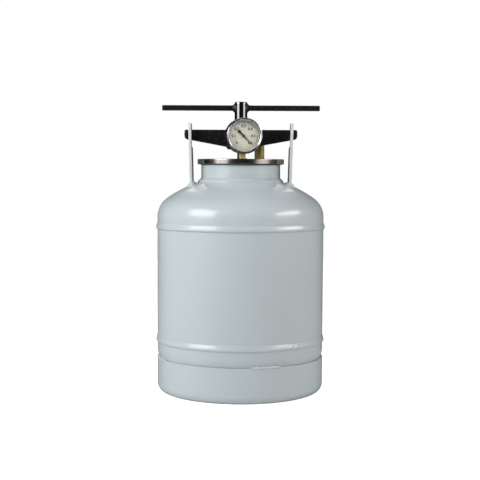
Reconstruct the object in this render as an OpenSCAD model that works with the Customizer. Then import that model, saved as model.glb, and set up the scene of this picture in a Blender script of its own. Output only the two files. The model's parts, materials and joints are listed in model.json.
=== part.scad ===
// Screw-clamped pressure vessel: dished steel body, necked mouth, clamped lid, gauge and relief valve
// Millimetres, +Z up, origin on the floor under the vessel's axis, gauge towards -Y

/* [Vessel] */
// Outside diameter of the shell
body_d = 299; // [260:1:340]
// Sheet thickness of the shell and of both domes
wall = 3; // [2:0.5:5]
// Length of the straight shell between its two seams
shell_h = 202; // [120:1:400]
// Outside radius of the crown of each dome
crown_r = 230; // [220:5:320]
// Outside radius of the knuckle of each dome
knuckle_r = 42; // [35:1:55]
// Straight edge of each dome, between its seam and its knuckle
flange_h = 15.6; // [10:0.1:30]
// Width of the raised weld along a seam
seam_w = 12; // [8:1:16]
// Height of the raised weld over the shell
seam_rise = 2.5; // [1:0.5:4]
// Height of the backing ring behind a seam
backing_h = 26; // [16:1:40]
// Thickness of the backing ring
backing_t = 2; // [1:0.5:4]

/* [Foot ring] */
// Height of the foot ring
foot_h = 63.5; // [50:0.5:73]
// Sheet thickness of the foot ring
foot_t = 3.5; // [2:0.5:5]
// Outside radius of the ring's rolled lower edge
foot_roll_r = 15; // [8:1:20]
// Width of the flat that stands on the floor
foot_flat = 9; // [5:1:15]
// Height of the lower dome above the floor
floor_gap = 5; // [4:0.5:15]
// Number of weld tacks round the top edge of the ring
foot_tacks = 4; // [3:1:8]
// Length of one weld tack
tack_l = 44; // [20:2:60]

/* [Mouth] */
// Outside diameter of the neck
neck_d = 142; // [120:1:150]
// Wall of the neck
neck_t = 4; // [3:0.5:8]
// Height of the neck outside the dome
neck_stand = 29; // [24:1:60]
// Leg length of the fillet weld round the neck
neck_weld = 5; // [3:0.5:8]

/* [Lid] */
// Diameter of the lid
lid_d = 155.5; // [150:0.5:165]
// Thickness of the lid
lid_t = 9; // [8:0.5:16]
// Edge chamfer of the lid
lid_bevel = 1.2; // [0.5:0.1:2]
// Width of the gasket
gasket_w = 11; // [8:0.5:16]
// Thickness of the gasket
gasket_t = 6; // [4:0.5:8]
// How far the gasket stands out of its groove
gasket_proud = 1; // [0.5:0.5:2]

/* [Clamp] */
// Distance between the middles of the two hook brackets, at their feet
hook_span = 176; // [174:1:200]
// Outward lean of a hook bracket, in degrees
hook_lean = 1.6; // [0:0.1:3]
// Plate thickness of a hook bracket
hook_t = 5; // [4:0.5:8]
// Width of a hook bracket, front to back
hook_w = 60; // [50:1:80]
// Height of the hook's jaw over the yoke
jaw_h = 11; // [8:0.5:20]
// Height of the hook's throat
throat_h = 31; // [28:1:45]
// How far the jaw reaches behind the middle
jaw_reach = 14; // [12:1:20]
// Length of the yoke
yoke_l = 202.5; // [196:0.5:230]
// Thickness of the yoke, front to back
yoke_t = 20; // [16:1:24]
// Height of the yoke at its tips
tip_h = 17.5; // [14:0.5:20]
// Height of the yoke beside its hub
root_h = 31; // [28:0.5:36]
// Top of the yoke above the lid
yoke_rise = 52.5; // [50:0.5:80]
// Diameter of the yoke's hub
hub_d = 46; // [36:1:54]
// Height of the hub
hub_h = 36; // [32:0.5:42]

/* [Screw] */
// Thread diameter of the clamp screw
screw_d = 20; // [16:1:24]
// Diameter of the screw's head
head_d = 23; // [22:0.5:32]
// Height of the screw's head
head_h = 43; // [36:1:60]
// Gap between the hub and the underside of the head
head_gap = 6; // [3:0.5:15]
// Diameter of the plain tip under the thread
tip_d = 13; // [11:0.5:15]
// Diameter of the tommy bar
bar_d = 10; // [8:0.5:14]
// Length of the tommy bar
bar_l = 283; // [200:1:320]
// Middle of the bar below the top of the head
bar_drop = 11; // [9:0.5:16]
// Leg length of the fillet weld between the bar and the head
bar_weld = 4.5; // [2:0.5:6]

/* [Screw socket] */
// Diameter of the socket let into the lid
socket_d = 36; // [32:1:44]
// How far the socket reaches below the lid
socket_drop = 6; // [3:0.5:10]
// Diameter of the collar at the end of the screw
collar_d = 16; // [14:0.5:18]
// Height of that collar
collar_h = 4; // [3:0.5:6]
// Thickness of the two keeper plates over the collar
keeper_t = 3; // [2:0.5:4]
// Diameter across the keeper plates
keeper_d = 28; // [26:1:30]

/* [Gauge] */
// Diameter of the bezel
bezel_d = 63; // [58:1:80]
// Depth of the whole gauge
gauge_depth = 30; // [28:1:40]
// Back of the case behind the middle of the stem
gauge_back = 9; // [8:0.5:12]
// Middle of the dial above the lid
gauge_rise = 40; // [38:0.5:60]
// Stem, sideways from the axis of the vessel
gauge_x = 2.8; // [-10:0.2:10]
// Stem, in front of the axis of the vessel
gauge_front = 46; // [42:0.5:50]
// Turn of the gauge about its stem
gauge_yaw = 12; // [-20:1:20]
// Width of the square stem
stem_w = 10.5; // [10:0.5:16]
// Sheet thickness of the case
case_t = 1.2; // [0.8:0.1:2]
// Thickness of the window
window_t = 2; // [1.5:0.1:3]
// Angle of the pointer from the three o'clock direction
pointer_angle = -45; // [-60:1:-30]

/* [Relief valve] */
// Diameter of the valve's body
valve_d = 18; // [17:0.5:22]
// Height of the valve's body over its washer
valve_h = 26; // [24:1:32]
// Valve, sideways from the axis of the vessel
valve_x = 34; // [30:0.5:36]
// Valve, behind the axis of the vessel
valve_back = 28; // [26:0.5:32]
// Diameter of the pull knob
knob_d = 8; // [6:0.5:10]
// Wire diameter of the valve's spring
spring_wire = 1; // [0.6:0.1:1.2]
// Number of turns of that spring
spring_turns = 7; // [5:1:9]

/* [Jar grid] */
// Distance of the split grid's edge from the edge of the crown that it rests in
grid_inset = 10; // [8:1:40]
// Sheet thickness of the grid
grid_t = 2; // [1:0.5:4]
// Diameter of the holes in the grid
grid_hole_d = 12; // [8:1:16]
// Distance between neighbouring holes
grid_pitch = 26; // [22:1:40]

/* [Hidden] */
$fn = 96;
eps = 0.01;

// Gaps: between pieces welded or screwed together, turning in each other, and resting on each other
fit_gap = 0.1;
run_gap = 0.05;
seat_gap = 0.2;
slide_gap = 0.5;
washer_t = 1;
washer_w = 2.5;
port_r = 6;
port_short = 1;
fine_fn = 720;

// Vessel
body_r = body_d / 2;
inner_r = body_r - wall;
knuckle_x = body_r - knuckle_r;
crown_drop = sqrt(pow(crown_r - knuckle_r, 2) - pow(knuckle_x, 2));
crown_edge_r = (crown_r - wall) * knuckle_x / (crown_r - knuckle_r);
dome_h = crown_r - crown_drop;
function crown_z(r, grow) = sqrt(pow(crown_r + grow, 2) - r * r) - crown_drop;
function knuckle_edge_r(z) = knuckle_x + sqrt(knuckle_r * knuckle_r - z * z);
lower_knuckle_z = floor_gap + dome_h;
lower_seam_z = lower_knuckle_z + flange_h;
upper_seam_z = lower_seam_z + shell_h;
upper_knuckle_z = upper_seam_z + flange_h;
backing_r = inner_r - fit_gap;
bead_r = (seam_w * seam_w / 4 + seam_rise * seam_rise) / (2 * seam_rise);

// Foot ring
foot_inner_r = knuckle_edge_r(lower_knuckle_z - foot_h) + fit_gap;
foot_outer_r = foot_inner_r + foot_t;
foot_flat_r = foot_outer_r - foot_roll_r - foot_flat;
tack_r = 2.2;
tack_sweep = tack_l / foot_outer_r * 180 / PI;
tack_start = 8;

// Mouth and lid
neck_r = neck_d / 2;
neck_inner_r = neck_r - neck_t;
neck_foot_z = upper_knuckle_z + crown_z(neck_r, 0);
neck_end_z = upper_knuckle_z + crown_z(neck_inner_r, -wall) - neck_t;
rim_z = neck_foot_z + neck_stand;
lid_r = lid_d / 2;
lid_z = rim_z + seat_gap + gasket_proud;
lid_top_z = lid_z + lid_t;
gasket_mid_r = neck_r - neck_t / 2;
gasket_in_r = gasket_mid_r - gasket_w / 2;
gasket_out_r = gasket_mid_r + gasket_w / 2;

// Clamp
hook_x = hook_span / 2;
hook_foot_z = upper_knuckle_z + crown_z(hook_x, 0);
yoke_top_z = lid_top_z + yoke_rise;
jaw_z = yoke_top_z + seat_gap;
throat_z = jaw_z - throat_h;
throat_front = yoke_t / 2 + slide_gap;
hook_r = 5;
shoulder_r = 10;
yoke_x = yoke_l / 2;
yoke_tip_r = 6;
yoke_top_r = 3;
hub_r = hub_d / 2;
hub_step = 1;
hub_top_z = yoke_top_z + hub_step;
hub_end_z = hub_top_z - hub_h;

// Screw and its socket
screw_r = screw_d / 2;
head_r = head_d / 2;
head_z = hub_top_z + head_gap;
head_top_z = head_z + head_h;
head_bevel = 2.5;
bar_r = bar_d / 2;
bar_z = head_top_z - bar_drop;
bar_bevel = 1;
tip_r = tip_d / 2;
socket_r = socket_d / 2;
socket_end_z = lid_z - socket_drop;
keeper_r = keeper_d / 2;
keeper_z = lid_top_z - keeper_t;
keeper_split = 0.6;
collar_r = collar_d / 2;
collar_z = keeper_z - run_gap - collar_h;
collar_step = 1.2;
collar_neck_r = tip_r - collar_step;
keeper_screw_r = 1.5;
keeper_screw_head_r = 2.6;
keeper_screw_l = 7;
keeper_screw_sink = 1;
keeper_screw_x = (collar_r + keeper_r) / 2;

// Gauge, in a frame with X to the right, Y up, Z towards the viewer and the stem along Y at Z 0
bezel_r = bezel_d / 2;
bezel_lip = 4.5;
bezel_skirt = 0.6;
case_r = bezel_r - bezel_skirt - fit_gap;
case_in_r = case_r - case_t;
gauge_face_z = gauge_depth - gauge_back;
bezel_face_t = 3.6;
bezel_grip = 1.5;
bezel_fall = 2;
bezel_round = 1.4;
bezel_slope = 1.2;
window_z = gauge_face_z - bezel_face_t - fit_gap - window_t;
window_r = case_r - fit_gap;
case_rim_z = window_z - fit_gap;
bezel_back_z = case_rim_z - bezel_grip;
case_floor_z = -gauge_back;
dial_clear = 1.2;
dial_r = case_in_r - dial_clear;
dial_t = 0.8;
dial_z = 7;
dial_sweep = 270;
pointer_gap = 1.7;
pointer_z = dial_z + dial_t + pointer_gap;
pointer_t = 0.8;
pointer_l = 19;
pointer_tail = 11;
pointer_tail_half = 1.3;
pointer_half = 0.9;
pointer_tip_half = 0.15;
pointer_weight_r = 2.2;
pointer_hub_t = 1.8;
spindle_r = 0.9;
spindle_hub_r = 2.4;

// Gauge movement
tooth_module = 0.3;
pinion_teeth = 10;
sector_teeth = 70;
tooth_half = 0.15;
tooth_tip_half = 0.07;
tooth_root = 1.3 * tooth_module;
rim_depth = 1.2 * tooth_module;
mesh_gap = 0.05;
pinion_r = pinion_teeth * tooth_module / 2;
sector_r = sector_teeth * tooth_module / 2;
arbor_angle = -60;
arbor_distance = pinion_r + sector_r + mesh_gap;
arbor = arbor_distance * [cos(arbor_angle), sin(arbor_angle)];
arbor_r = 1;
gear_t = 2;
sector_travel = dial_sweep * pinion_teeth / sector_teeth;
sector_first = -2;
sector_last = ceil(sector_travel * sector_teeth / 360) - sector_first;
sector_hub_r = 2.4;
tail_angle = 10;
tail_l = 6;
tail_half = 1.2;
tail_pin = arbor + tail_l * [cos(tail_angle), sin(tail_angle)];
plate_z = 4;
plate_t = 1;
plate_w = 17;
plate_top = 6;
plate_corner = 2;
block_w = 14;
block_top = -14;
block_gap = 1;
plate_foot = 4;
pillar_r = 1.4;
pillar_edge = 0.8;
pillar_x = plate_w / 2 - pillar_r - pillar_edge;
pillar_y = plate_top - pillar_r - pillar_edge;
tube_r = 22;
tube_half_w = 3.6;
tube_half_t = 1.3;
tube_wall = 0.4;
tube_fn = 24;
tube_end = -3;
tube_sweep = 180 + acos((block_w / 2 + fit_gap) / (tube_r - tube_half_t)) - tube_end;
lug_t = 1;
lug_reach = 3.2;
link_gap = 0.3;
link_z = gear_t / 2 + link_gap;
link_t = 0.8;
link_half = 1.1;
link_waist = 0.77;
link_pin_r = 0.5;
link_end = (tube_r - tube_half_t - lug_reach / 2) * [cos(tube_end), sin(tube_end)];

// Relief valve, from the top of the lid upwards
valve_r = valve_d / 2;
valve_seat_z = 8;
inlet_r = 2.5;
valve_wall = 2.8;
chamber_r = valve_r - valve_wall;
vent_r = 1.2;
vent_z = 17;
cap_plug = 5;
cap_h = 11;
cap_roof = 4;
cap_wall = 1;
cap_corner_r = valve_r - cap_wall;
cap_in_r = chamber_r - fit_gap - cap_wall;
valve_top = washer_t + valve_h;
cap_z = valve_top + fit_gap;
poppet_t = 3;
poppet_gap = 0.4;
poppet_r = chamber_r - poppet_gap;
poppet_z = valve_seat_z + seat_gap;
seal_t = 1.2;
seal_lap = 1.6;
seal_r = inlet_r + seal_lap;
spigot_h = 1.8;
spring_gap = 0.3;
spring_r = cap_in_r - spring_wire / 2 - spring_gap;
spigot_r = spring_r - spring_wire / 2 - spring_gap;
spring_z = poppet_z + poppet_t + fit_gap;
spring_top = cap_z + cap_h - cap_roof - fit_gap;
valve_stem_r = 1.5;
knob_rise = 4;
knob_z = cap_z + cap_h + knob_rise;
knob_h = 5;
knob_roof = 1;
knob_bore_top = knob_z + knob_h - knob_roof;

// Jar grid
grid_r = crown_edge_r - grid_inset;
grid_z = lower_knuckle_z - crown_z(grid_r, -wall) + seat_gap;
grid_split = 2;
grid_rim = 6;
grid_rows = floor(grid_r / grid_pitch);

// Shared shapes

module ring(outer, inner, h) {
  difference() {
    cylinder(r = outer, h = h);
    translate([0, 0, -eps]) cylinder(r = inner, h = h + 2 * eps);
  }
}

module round_rect(x0, y0, x1, y1, r) {
  translate([x0 + r, y0]) square([x1 - x0 - 2 * r, y1 - y0]);
  translate([x0, y0 + r]) square([x1 - x0, y1 - y0 - 2 * r]);
  for (x = [x0 + r, x1 - r], y = [y0 + r, y1 - r]) translate([x, y]) circle(r = r);
}

// Half section of a dome, filled down to the lower end of its straight edge
module dome_area(grow) {
  intersection() {
    translate([0, -flange_h]) square([2 * body_r, flange_h + crown_r]);
    union() {
      intersection() {
        translate([0, -crown_drop]) circle(r = crown_r + grow);
        polygon([[0, -crown_drop], [2 * knuckle_x, crown_drop], [0, crown_drop + crown_r]]);
      }
      translate([knuckle_x, 0]) circle(r = knuckle_r + grow);
      translate([0, -flange_h]) square([body_r + grow, flange_h]);
    }
  }
}

module dome_shell() {
  rotate_extrude() difference() {
    dome_area(0);
    dome_area(-wall);
  }
}

module seam_weld(z) {
  translate([0, 0, z]) rotate_extrude() intersection() {
    translate([body_r + seam_rise - bead_r, 0]) circle(r = bead_r);
    translate([body_r + fit_gap, -seam_w]) square([seam_rise, 2 * seam_w]);
  }
}

module backing_ring(z) {
  translate([0, 0, z - backing_h / 2]) ring(backing_r, backing_r - backing_t, backing_h);
}

module at_gauge() {
  translate([gauge_x, -gauge_front, lid_top_z + gauge_rise]) rotate([90, 0, gauge_yaw]) children();
}

module at_valve() {
  translate([valve_x, valve_back, lid_top_z]) children();
}

// One straight-sided tooth, pointing along X from the rim of its wheel
module tooth(pitch_r) {
  polygon([[pitch_r - tooth_root, -2 * tooth_half], [pitch_r, -tooth_half],
           [pitch_r + tooth_module, -tooth_tip_half], [pitch_r + tooth_module, tooth_tip_half],
           [pitch_r, tooth_half], [pitch_r - tooth_root, 2 * tooth_half]]);
}

// Round wire wound into a closed spring between two heights
module coil(mean_r, wire_r, turns, z0, z1) {
  steps = 14;
  sides = 6;
  count = turns * steps;
  rise = z1 - z0 - 2 * wire_r;
  points = [for (i = [0:count], j = [0:sides - 1])
    let (a = 360 * i / steps, b = 360 * j / sides, r = mean_r + wire_r * cos(b))
    [r * cos(a), r * sin(a), z0 + wire_r + rise * i / count + wire_r * sin(b)]];
  sleeve = [for (i = [0:count - 1], j = [0:sides - 1])
    let (k = (j + 1) % sides)
    [i * sides + j, (i + 1) * sides + j, (i + 1) * sides + k, i * sides + k]];
  ends = [[for (j = [0:sides - 1]) j], [for (j = [sides - 1:-1:0]) count * sides + j]];
  polyhedron(points = points, faces = concat(sleeve, ends), convexity = turns);
}

// Vessel

module shell() {
  color("lightsteelblue") translate([0, 0, lower_seam_z]) ring(body_r, inner_r, shell_h);
}

module upper_dome() {
  color("lightsteelblue") difference() {
    translate([0, 0, upper_knuckle_z]) dome_shell();
    translate([0, 0, upper_knuckle_z]) cylinder(r = neck_r + fit_gap, h = dome_h + wall);
  }
}

module lower_dome() {
  color("lightsteelblue") translate([0, 0, lower_knuckle_z]) mirror([0, 0, 1]) dome_shell();
}

module upper_seam_weld() {
  color("lightsteelblue") seam_weld(upper_seam_z);
}

module lower_seam_weld() {
  color("lightsteelblue") seam_weld(lower_seam_z);
}

module upper_backing_ring() {
  color("gray") backing_ring(upper_seam_z);
}

module lower_backing_ring() {
  color("gray") backing_ring(lower_seam_z);
}

module neck() {
  color("lightsteelblue") translate([0, 0, neck_end_z]) ring(neck_r, neck_inner_r, rim_z - neck_end_z);
}

// Fillet between the neck and the dome, cut to the dome's crown
module neck_weld_ring() {
  color("lightsteelblue") rotate_extrude() difference() {
    translate([neck_r + fit_gap, neck_foot_z - neck_weld])
      square([neck_weld, 2 * neck_weld]);
    translate([neck_r + fit_gap + neck_weld, neck_foot_z + neck_weld]) circle(r = neck_weld);
    translate([0, upper_knuckle_z - crown_drop]) circle(r = crown_r + fit_gap, $fn = fine_fn);
  }
}

module foot_ring() {
  roll_x = foot_outer_r - foot_roll_r;
  roll_in_r = foot_roll_r - foot_t;
  color("lightsteelblue") rotate_extrude() {
    translate([foot_inner_r, foot_roll_r]) square([foot_t, foot_h - foot_roll_r]);
    translate([foot_flat_r, 0]) square([foot_flat, foot_t]);
    intersection() {
      difference() {
        translate([roll_x, foot_roll_r]) circle(r = foot_roll_r);
        translate([roll_x, foot_roll_r]) circle(r = roll_in_r);
      }
      translate([roll_x, 0]) square(foot_roll_r);
    }
  }
}

// Short weld beads that close the notch between the foot ring's top edge and the lower dome
module foot_tack_welds() {
  color("lightsteelblue") for (i = [0:foot_tacks - 1])
    rotate([0, 0, tack_start + i * 360 / foot_tacks - 90 - tack_sweep / 2])
      rotate_extrude(angle = tack_sweep) difference() {
        translate([foot_outer_r - tack_r / 2, foot_h + fit_gap]) circle(r = tack_r);
        translate([foot_inner_r - tack_r, foot_h - 2 * tack_r])
          square([foot_t + 2 * tack_r, 2 * tack_r + fit_gap]);
        translate([knuckle_x, lower_knuckle_z]) circle(r = knuckle_r + fit_gap);
      }
}

// Plate with a throat that opens to the rear and a jaw that the yoke pulls up against
module hook(side) {
  root_z = neck_foot_z - neck_stand;
  difference() {
    translate([side * hook_x, 0, hook_foot_z]) rotate([0, side * hook_lean, 0])
      translate([-hook_t / 2, 0, -hook_foot_z]) rotate([90, 0, 90]) linear_extrude(height = hook_t) {
        round_rect(-hook_w / 2, root_z, hook_w / 2, throat_z, shoulder_r);
        translate([-hook_w / 2, throat_z - 2 * shoulder_r])
          square([hook_w / 2 - throat_front, throat_h + 2 * shoulder_r + hook_r]);
        round_rect(-hook_w / 2, jaw_z, jaw_reach, jaw_z + jaw_h, hook_r);
      }
    translate([0, 0, upper_knuckle_z]) rotate_extrude() dome_area(fit_gap);
  }
}

module left_hook() {
  color("lightsteelblue") hook(-1);
}

module right_hook() {
  color("lightsteelblue") hook(1);
}

// Two half discs that pass through the neck one by one and rest in the dish of the lower dome
module jar_grid() {
  color("silver") translate([0, 0, grid_z]) difference() {
    cylinder(r = grid_r, h = grid_t);
    translate([-body_r, -grid_split / 2, -eps]) cube([body_d, grid_split, grid_t + 2 * eps]);
    for (i = [-grid_rows:grid_rows], j = [0:grid_rows - 1], side = [-1, 1]) {
      x = i * grid_pitch + (j % 2) * grid_pitch / 2;
      y = (j + 0.5) * grid_pitch * sin(60) + grid_split;
      if (norm([x, y]) < grid_r - grid_rim - grid_hole_d / 2)
        translate([x, side * y, -eps]) cylinder(d = grid_hole_d, h = grid_t + 2 * eps);
    }
  }
}

// Lid

module lid_plate() {
  color("dimgray") difference() {
    union() {
      translate([0, 0, lid_z]) cylinder(r = lid_r, h = lid_t - lid_bevel);
      translate([0, 0, lid_top_z - lid_bevel]) cylinder(r1 = lid_r, r2 = lid_r - lid_bevel, h = lid_bevel);
    }
    translate([0, 0, lid_z - eps])
      ring(gasket_out_r + fit_gap, gasket_in_r - fit_gap, gasket_t - gasket_proud + eps);
    translate([0, 0, lid_z - eps]) cylinder(r = socket_r + fit_gap, h = lid_t + 2 * eps);
    translate([gauge_x, -gauge_front, lid_z - eps]) cylinder(r = port_r + fit_gap, h = lid_t + 2 * eps);
    translate([valve_x, valve_back, lid_z - eps]) cylinder(r = port_r + fit_gap, h = lid_t + 2 * eps);
  }
}

module lid_gasket() {
  color("saddlebrown") translate([0, 0, lid_z - gasket_proud])
    ring(gasket_out_r, gasket_in_r, gasket_t - fit_gap);
}

module screw_socket() {
  color("dimgray") difference() {
    translate([0, 0, socket_end_z]) cylinder(r = socket_r, h = lid_top_z - socket_end_z);
    translate([0, 0, keeper_z]) cylinder(r = keeper_r + fit_gap, h = keeper_t + eps);
    translate([0, 0, collar_z - run_gap]) cylinder(r = collar_r + run_gap, h = collar_h + keeper_t);
    for (side = [-1, 1]) translate([0, side * keeper_screw_x, lid_top_z - keeper_screw_l - fit_gap])
      cylinder(r = keeper_screw_r + fit_gap, h = keeper_screw_l);
  }
}

module collar_keepers() {
  color("gray") difference() {
    translate([0, 0, keeper_z]) ring(keeper_r, collar_neck_r + run_gap, keeper_t);
    translate([-socket_r, -keeper_split / 2, keeper_z - eps])
      cube([socket_d, keeper_split, keeper_t + 2 * eps]);
    for (side = [-1, 1]) translate([0, side * keeper_screw_x, 0]) {
      translate([0, 0, keeper_z - eps]) cylinder(r = keeper_screw_r + fit_gap, h = keeper_t);
      translate([0, 0, lid_top_z - keeper_screw_head_r])
        cylinder(r1 = fit_gap, r2 = keeper_screw_head_r + fit_gap, h = keeper_screw_head_r + eps);
    }
  }
}

module keeper_screws() {
  color("silver") for (side = [-1, 1]) translate([0, side * keeper_screw_x, 0]) {
    translate([0, 0, lid_top_z - keeper_screw_l])
      cylinder(r = keeper_screw_r, h = keeper_screw_l - keeper_screw_sink);
    translate([0, 0, lid_top_z - keeper_screw_head_r])
      cylinder(r1 = 0, r2 = keeper_screw_head_r, h = keeper_screw_head_r);
  }
}

// Gauge

module gauge_washer() {
  color("peru") translate([gauge_x, -gauge_front, lid_top_z])
    ring(port_r + washer_w, port_r + fit_gap, washer_t);
}

module gauge_socket() {
  stem_foot = washer_t - gauge_rise;
  color("goldenrod") at_gauge() {
    translate([0, stem_foot, 0]) rotate([90, 0, 0]) cylinder(r = port_r, h = washer_t + lid_t - port_short);
    translate([-stem_w / 2, stem_foot, -stem_w / 2]) cube([stem_w, -case_r - stem_foot, stem_w]);
    translate([0, -case_r, 0]) rotate([-90, 0, 0]) cylinder(r = port_r - fit_gap, h = case_t + block_gap);
    translate([-block_w / 2, block_gap - case_in_r, -plate_z])
      cube([block_w, case_in_r - block_gap + block_top, 2 * plate_z]);
  }
}

module gauge_case() {
  color("#20242a") at_gauge() difference() {
    translate([0, 0, case_floor_z]) cylinder(r = case_r, h = case_rim_z - case_floor_z);
    translate([0, 0, case_floor_z + case_t]) cylinder(r = case_in_r, h = gauge_depth);
    rotate([90, 0, 0]) cylinder(r = port_r, h = case_r + eps);
  }
}

module gauge_bezel() {
  color("gainsboro") at_gauge() rotate_extrude() polygon([
    [case_r + fit_gap, bezel_back_z], [bezel_r, bezel_back_z], [bezel_r, gauge_face_z - bezel_fall],
    [bezel_r - bezel_round, gauge_face_z], [bezel_r - bezel_lip + bezel_slope, gauge_face_z],
    [bezel_r - bezel_lip, gauge_face_z - bezel_face_t], [case_r + fit_gap, gauge_face_z - bezel_face_t]]);
}

module gauge_window() {
  color([0.85, 0.92, 0.95, 0.3]) at_gauge() translate([0, 0, window_z]) cylinder(r = window_r, h = window_t);
}

module gauge_dial() {
  color("ivory") at_gauge() translate([0, 0, dial_z]) difference() {
    cylinder(r = dial_r, h = dial_t);
    translate([0, 0, -eps]) cylinder(r = spindle_hub_r, h = dial_t + 2 * eps);
  }
}

// Flat oval tube, closed at its free end by a plug with a lug that the link hangs on
module bourdon_tube() {
  module oval(half_t, half_w) {
    translate([tube_r - half_t, half_t - half_w]) square([2 * half_t, 2 * (half_w - half_t)]);
    for (y = [half_t - half_w, half_w - half_t]) translate([tube_r, y]) circle(r = half_t, $fn = tube_fn);
  }
  color("darkgoldenrod") at_gauge() rotate([0, 0, tube_end]) {
    rotate_extrude(angle = tube_sweep) difference() {
      oval(tube_half_t, tube_half_w);
      oval(tube_half_t - tube_wall, tube_half_w - tube_wall);
    }
    translate([tube_r - tube_half_t - lug_reach, -lug_t, tube_half_w - lug_t - seat_gap])
      cube([lug_reach + 2 * tube_half_t, lug_t, lug_t]);
    translate([tube_r - tube_half_t, -lug_t, tube_half_t - tube_half_w])
      cube([2 * tube_half_t, lug_t, 2 * (tube_half_w - tube_half_t)]);
  }
}

module movement_frame() {
  plate_end = block_top - plate_foot;
  color("goldenrod") at_gauge() {
    for (z = [plate_z, -plate_z - plate_t]) translate([0, 0, z]) difference() {
      linear_extrude(height = plate_t)
        round_rect(-plate_w / 2, plate_end, plate_w / 2, plate_top, plate_corner);
      translate([0, 0, -eps]) cylinder(r = spindle_r + run_gap, h = plate_t + 2 * eps);
      translate([arbor[0], arbor[1], -eps]) cylinder(r = arbor_r + run_gap, h = plate_t + 2 * eps);
    }
    for (x = [-pillar_x, pillar_x]) {
      translate([x, pillar_y, -plate_z]) cylinder(r = pillar_r, h = 2 * plate_z);
      translate([x, pillar_y, plate_z + plate_t]) cylinder(r = pillar_r, h = dial_z - plate_z - plate_t);
    }
  }
}

module gauge_pointer() {
  color("black") at_gauge() rotate([0, 0, pointer_angle]) translate([0, 0, pointer_z]) difference() {
    union() {
      linear_extrude(height = pointer_t)
        polygon([[-pointer_tail, -pointer_tail_half], [-pointer_tail, pointer_tail_half], [0, pointer_half],
                 [pointer_l, pointer_tip_half], [pointer_l, -pointer_tip_half], [0, -pointer_half]]);
      translate([-pointer_tail, 0, 0]) cylinder(r = pointer_weight_r, h = pointer_t);
      cylinder(r = spindle_hub_r, h = pointer_hub_t);
    }
    translate([0, 0, -eps]) cylinder(r = spindle_r + fit_gap, h = pointer_hub_t + 2 * eps);
  }
}

// Spindle under the pointer, with a gap of the pinion on the line to the sector's arbor
module pointer_pinion() {
  color("goldenrod") at_gauge() {
    translate([0, 0, -plate_z - plate_t])
      cylinder(r = spindle_r, h = pointer_z + pointer_t + plate_z + plate_t);
    translate([0, 0, -gear_t / 2]) linear_extrude(height = gear_t) {
      circle(r = pinion_r - rim_depth);
      for (i = [0:pinion_teeth - 1]) rotate(arbor_angle + (i + 0.5) * 360 / pinion_teeth) tooth(pinion_r);
    }
  }
}

module sector_gear() {
  sector_pitch = 360 / sector_teeth;
  facing = arbor_angle + 180;
  first = facing + (sector_first - 0.5) * sector_pitch;
  last = facing + (sector_last + 0.5) * sector_pitch;
  middle = (first + last) / 2;
  color("goldenrod") at_gauge() translate([arbor[0], arbor[1], 0]) {
    translate([0, 0, -plate_z - plate_t]) cylinder(r = arbor_r, h = 2 * (plate_z + plate_t));
    translate([0, 0, -gear_t / 2]) linear_extrude(height = gear_t) {
      circle(r = sector_hub_r);
      intersection() {
        circle(r = sector_r - rim_depth);
        polygon([[0, 0], 2 * sector_r * [cos(first), sin(first)],
                 2 * sector_r * [cos(middle), sin(middle)], 2 * sector_r * [cos(last), sin(last)]]);
      }
      for (i = [sector_first:sector_last]) rotate(facing + i * sector_pitch) tooth(sector_r);
      rotate(tail_angle) translate([0, -tail_half]) square([tail_l, 2 * tail_half]);
      translate(tail_pin - arbor) circle(r = tail_half);
    }
    translate([tail_pin[0] - arbor[0], tail_pin[1] - arbor[1], gear_t / 2])
      cylinder(r = link_pin_r, h = link_gap + link_t);
  }
}

module bourdon_link() {
  reach = link_end - tail_pin;
  color("silver") at_gauge() translate([tail_pin[0], tail_pin[1], link_z]) difference() {
    linear_extrude(height = link_t) {
      circle(r = link_half);
      translate(reach) circle(r = link_half);
      rotate(atan2(reach[1], reach[0])) translate([0, -link_waist]) square([norm(reach), 2 * link_waist]);
    }
    translate([0, 0, -eps]) cylinder(r = link_pin_r + run_gap, h = link_t + 2 * eps);
  }
}

// Relief valve

module valve_washer() {
  color("peru") at_valve() ring(port_r + washer_w, port_r + fit_gap, washer_t);
}

module valve_body() {
  color("goldenrod") at_valve() difference() {
    union() {
      translate([0, 0, port_short - lid_t]) cylinder(r = port_r, h = lid_t + washer_t);
      translate([0, 0, washer_t]) cylinder(r = valve_r, h = valve_h);
    }
    translate([0, 0, -lid_t]) cylinder(r = inlet_r, h = lid_t + valve_seat_z + eps);
    translate([0, 0, valve_seat_z]) cylinder(r = chamber_r, h = valve_h);
    for (a = [45, 135]) translate([0, 0, vent_z]) rotate([90, 0, a])
      cylinder(r = vent_r, h = 2 * valve_r, center = true);
  }
}

module valve_cap() {
  color("goldenrod") at_valve() difference() {
    union() {
      translate([0, 0, cap_z - cap_plug]) cylinder(r = chamber_r - fit_gap, h = cap_plug + eps);
      translate([0, 0, cap_z]) cylinder(r = cap_corner_r, h = cap_h, $fn = 6);
    }
    translate([0, 0, cap_z - cap_plug - eps]) cylinder(r = cap_in_r, h = cap_plug + cap_h - cap_roof + eps);
    translate([0, 0, cap_z]) cylinder(r = valve_stem_r + run_gap, h = cap_h + eps);
  }
}

module valve_spring() {
  color("silver") at_valve() coil(spring_r, spring_wire / 2, spring_turns, spring_z, spring_top);
}

module valve_poppet() {
  color("goldenrod") at_valve() difference() {
    union() {
      translate([0, 0, poppet_z]) cylinder(r = poppet_r, h = poppet_t);
      translate([0, 0, poppet_z + poppet_t]) cylinder(r = spigot_r, h = spigot_h);
      translate([0, 0, poppet_z + poppet_t])
        cylinder(r = valve_stem_r, h = knob_bore_top - poppet_z - poppet_t);
    }
    translate([0, 0, poppet_z - eps]) cylinder(r = seal_r + fit_gap, h = seal_t + eps);
  }
}

module poppet_seal() {
  color("black") at_valve() translate([0, 0, poppet_z - fit_gap]) cylinder(r = seal_r, h = seal_t);
}

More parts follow.
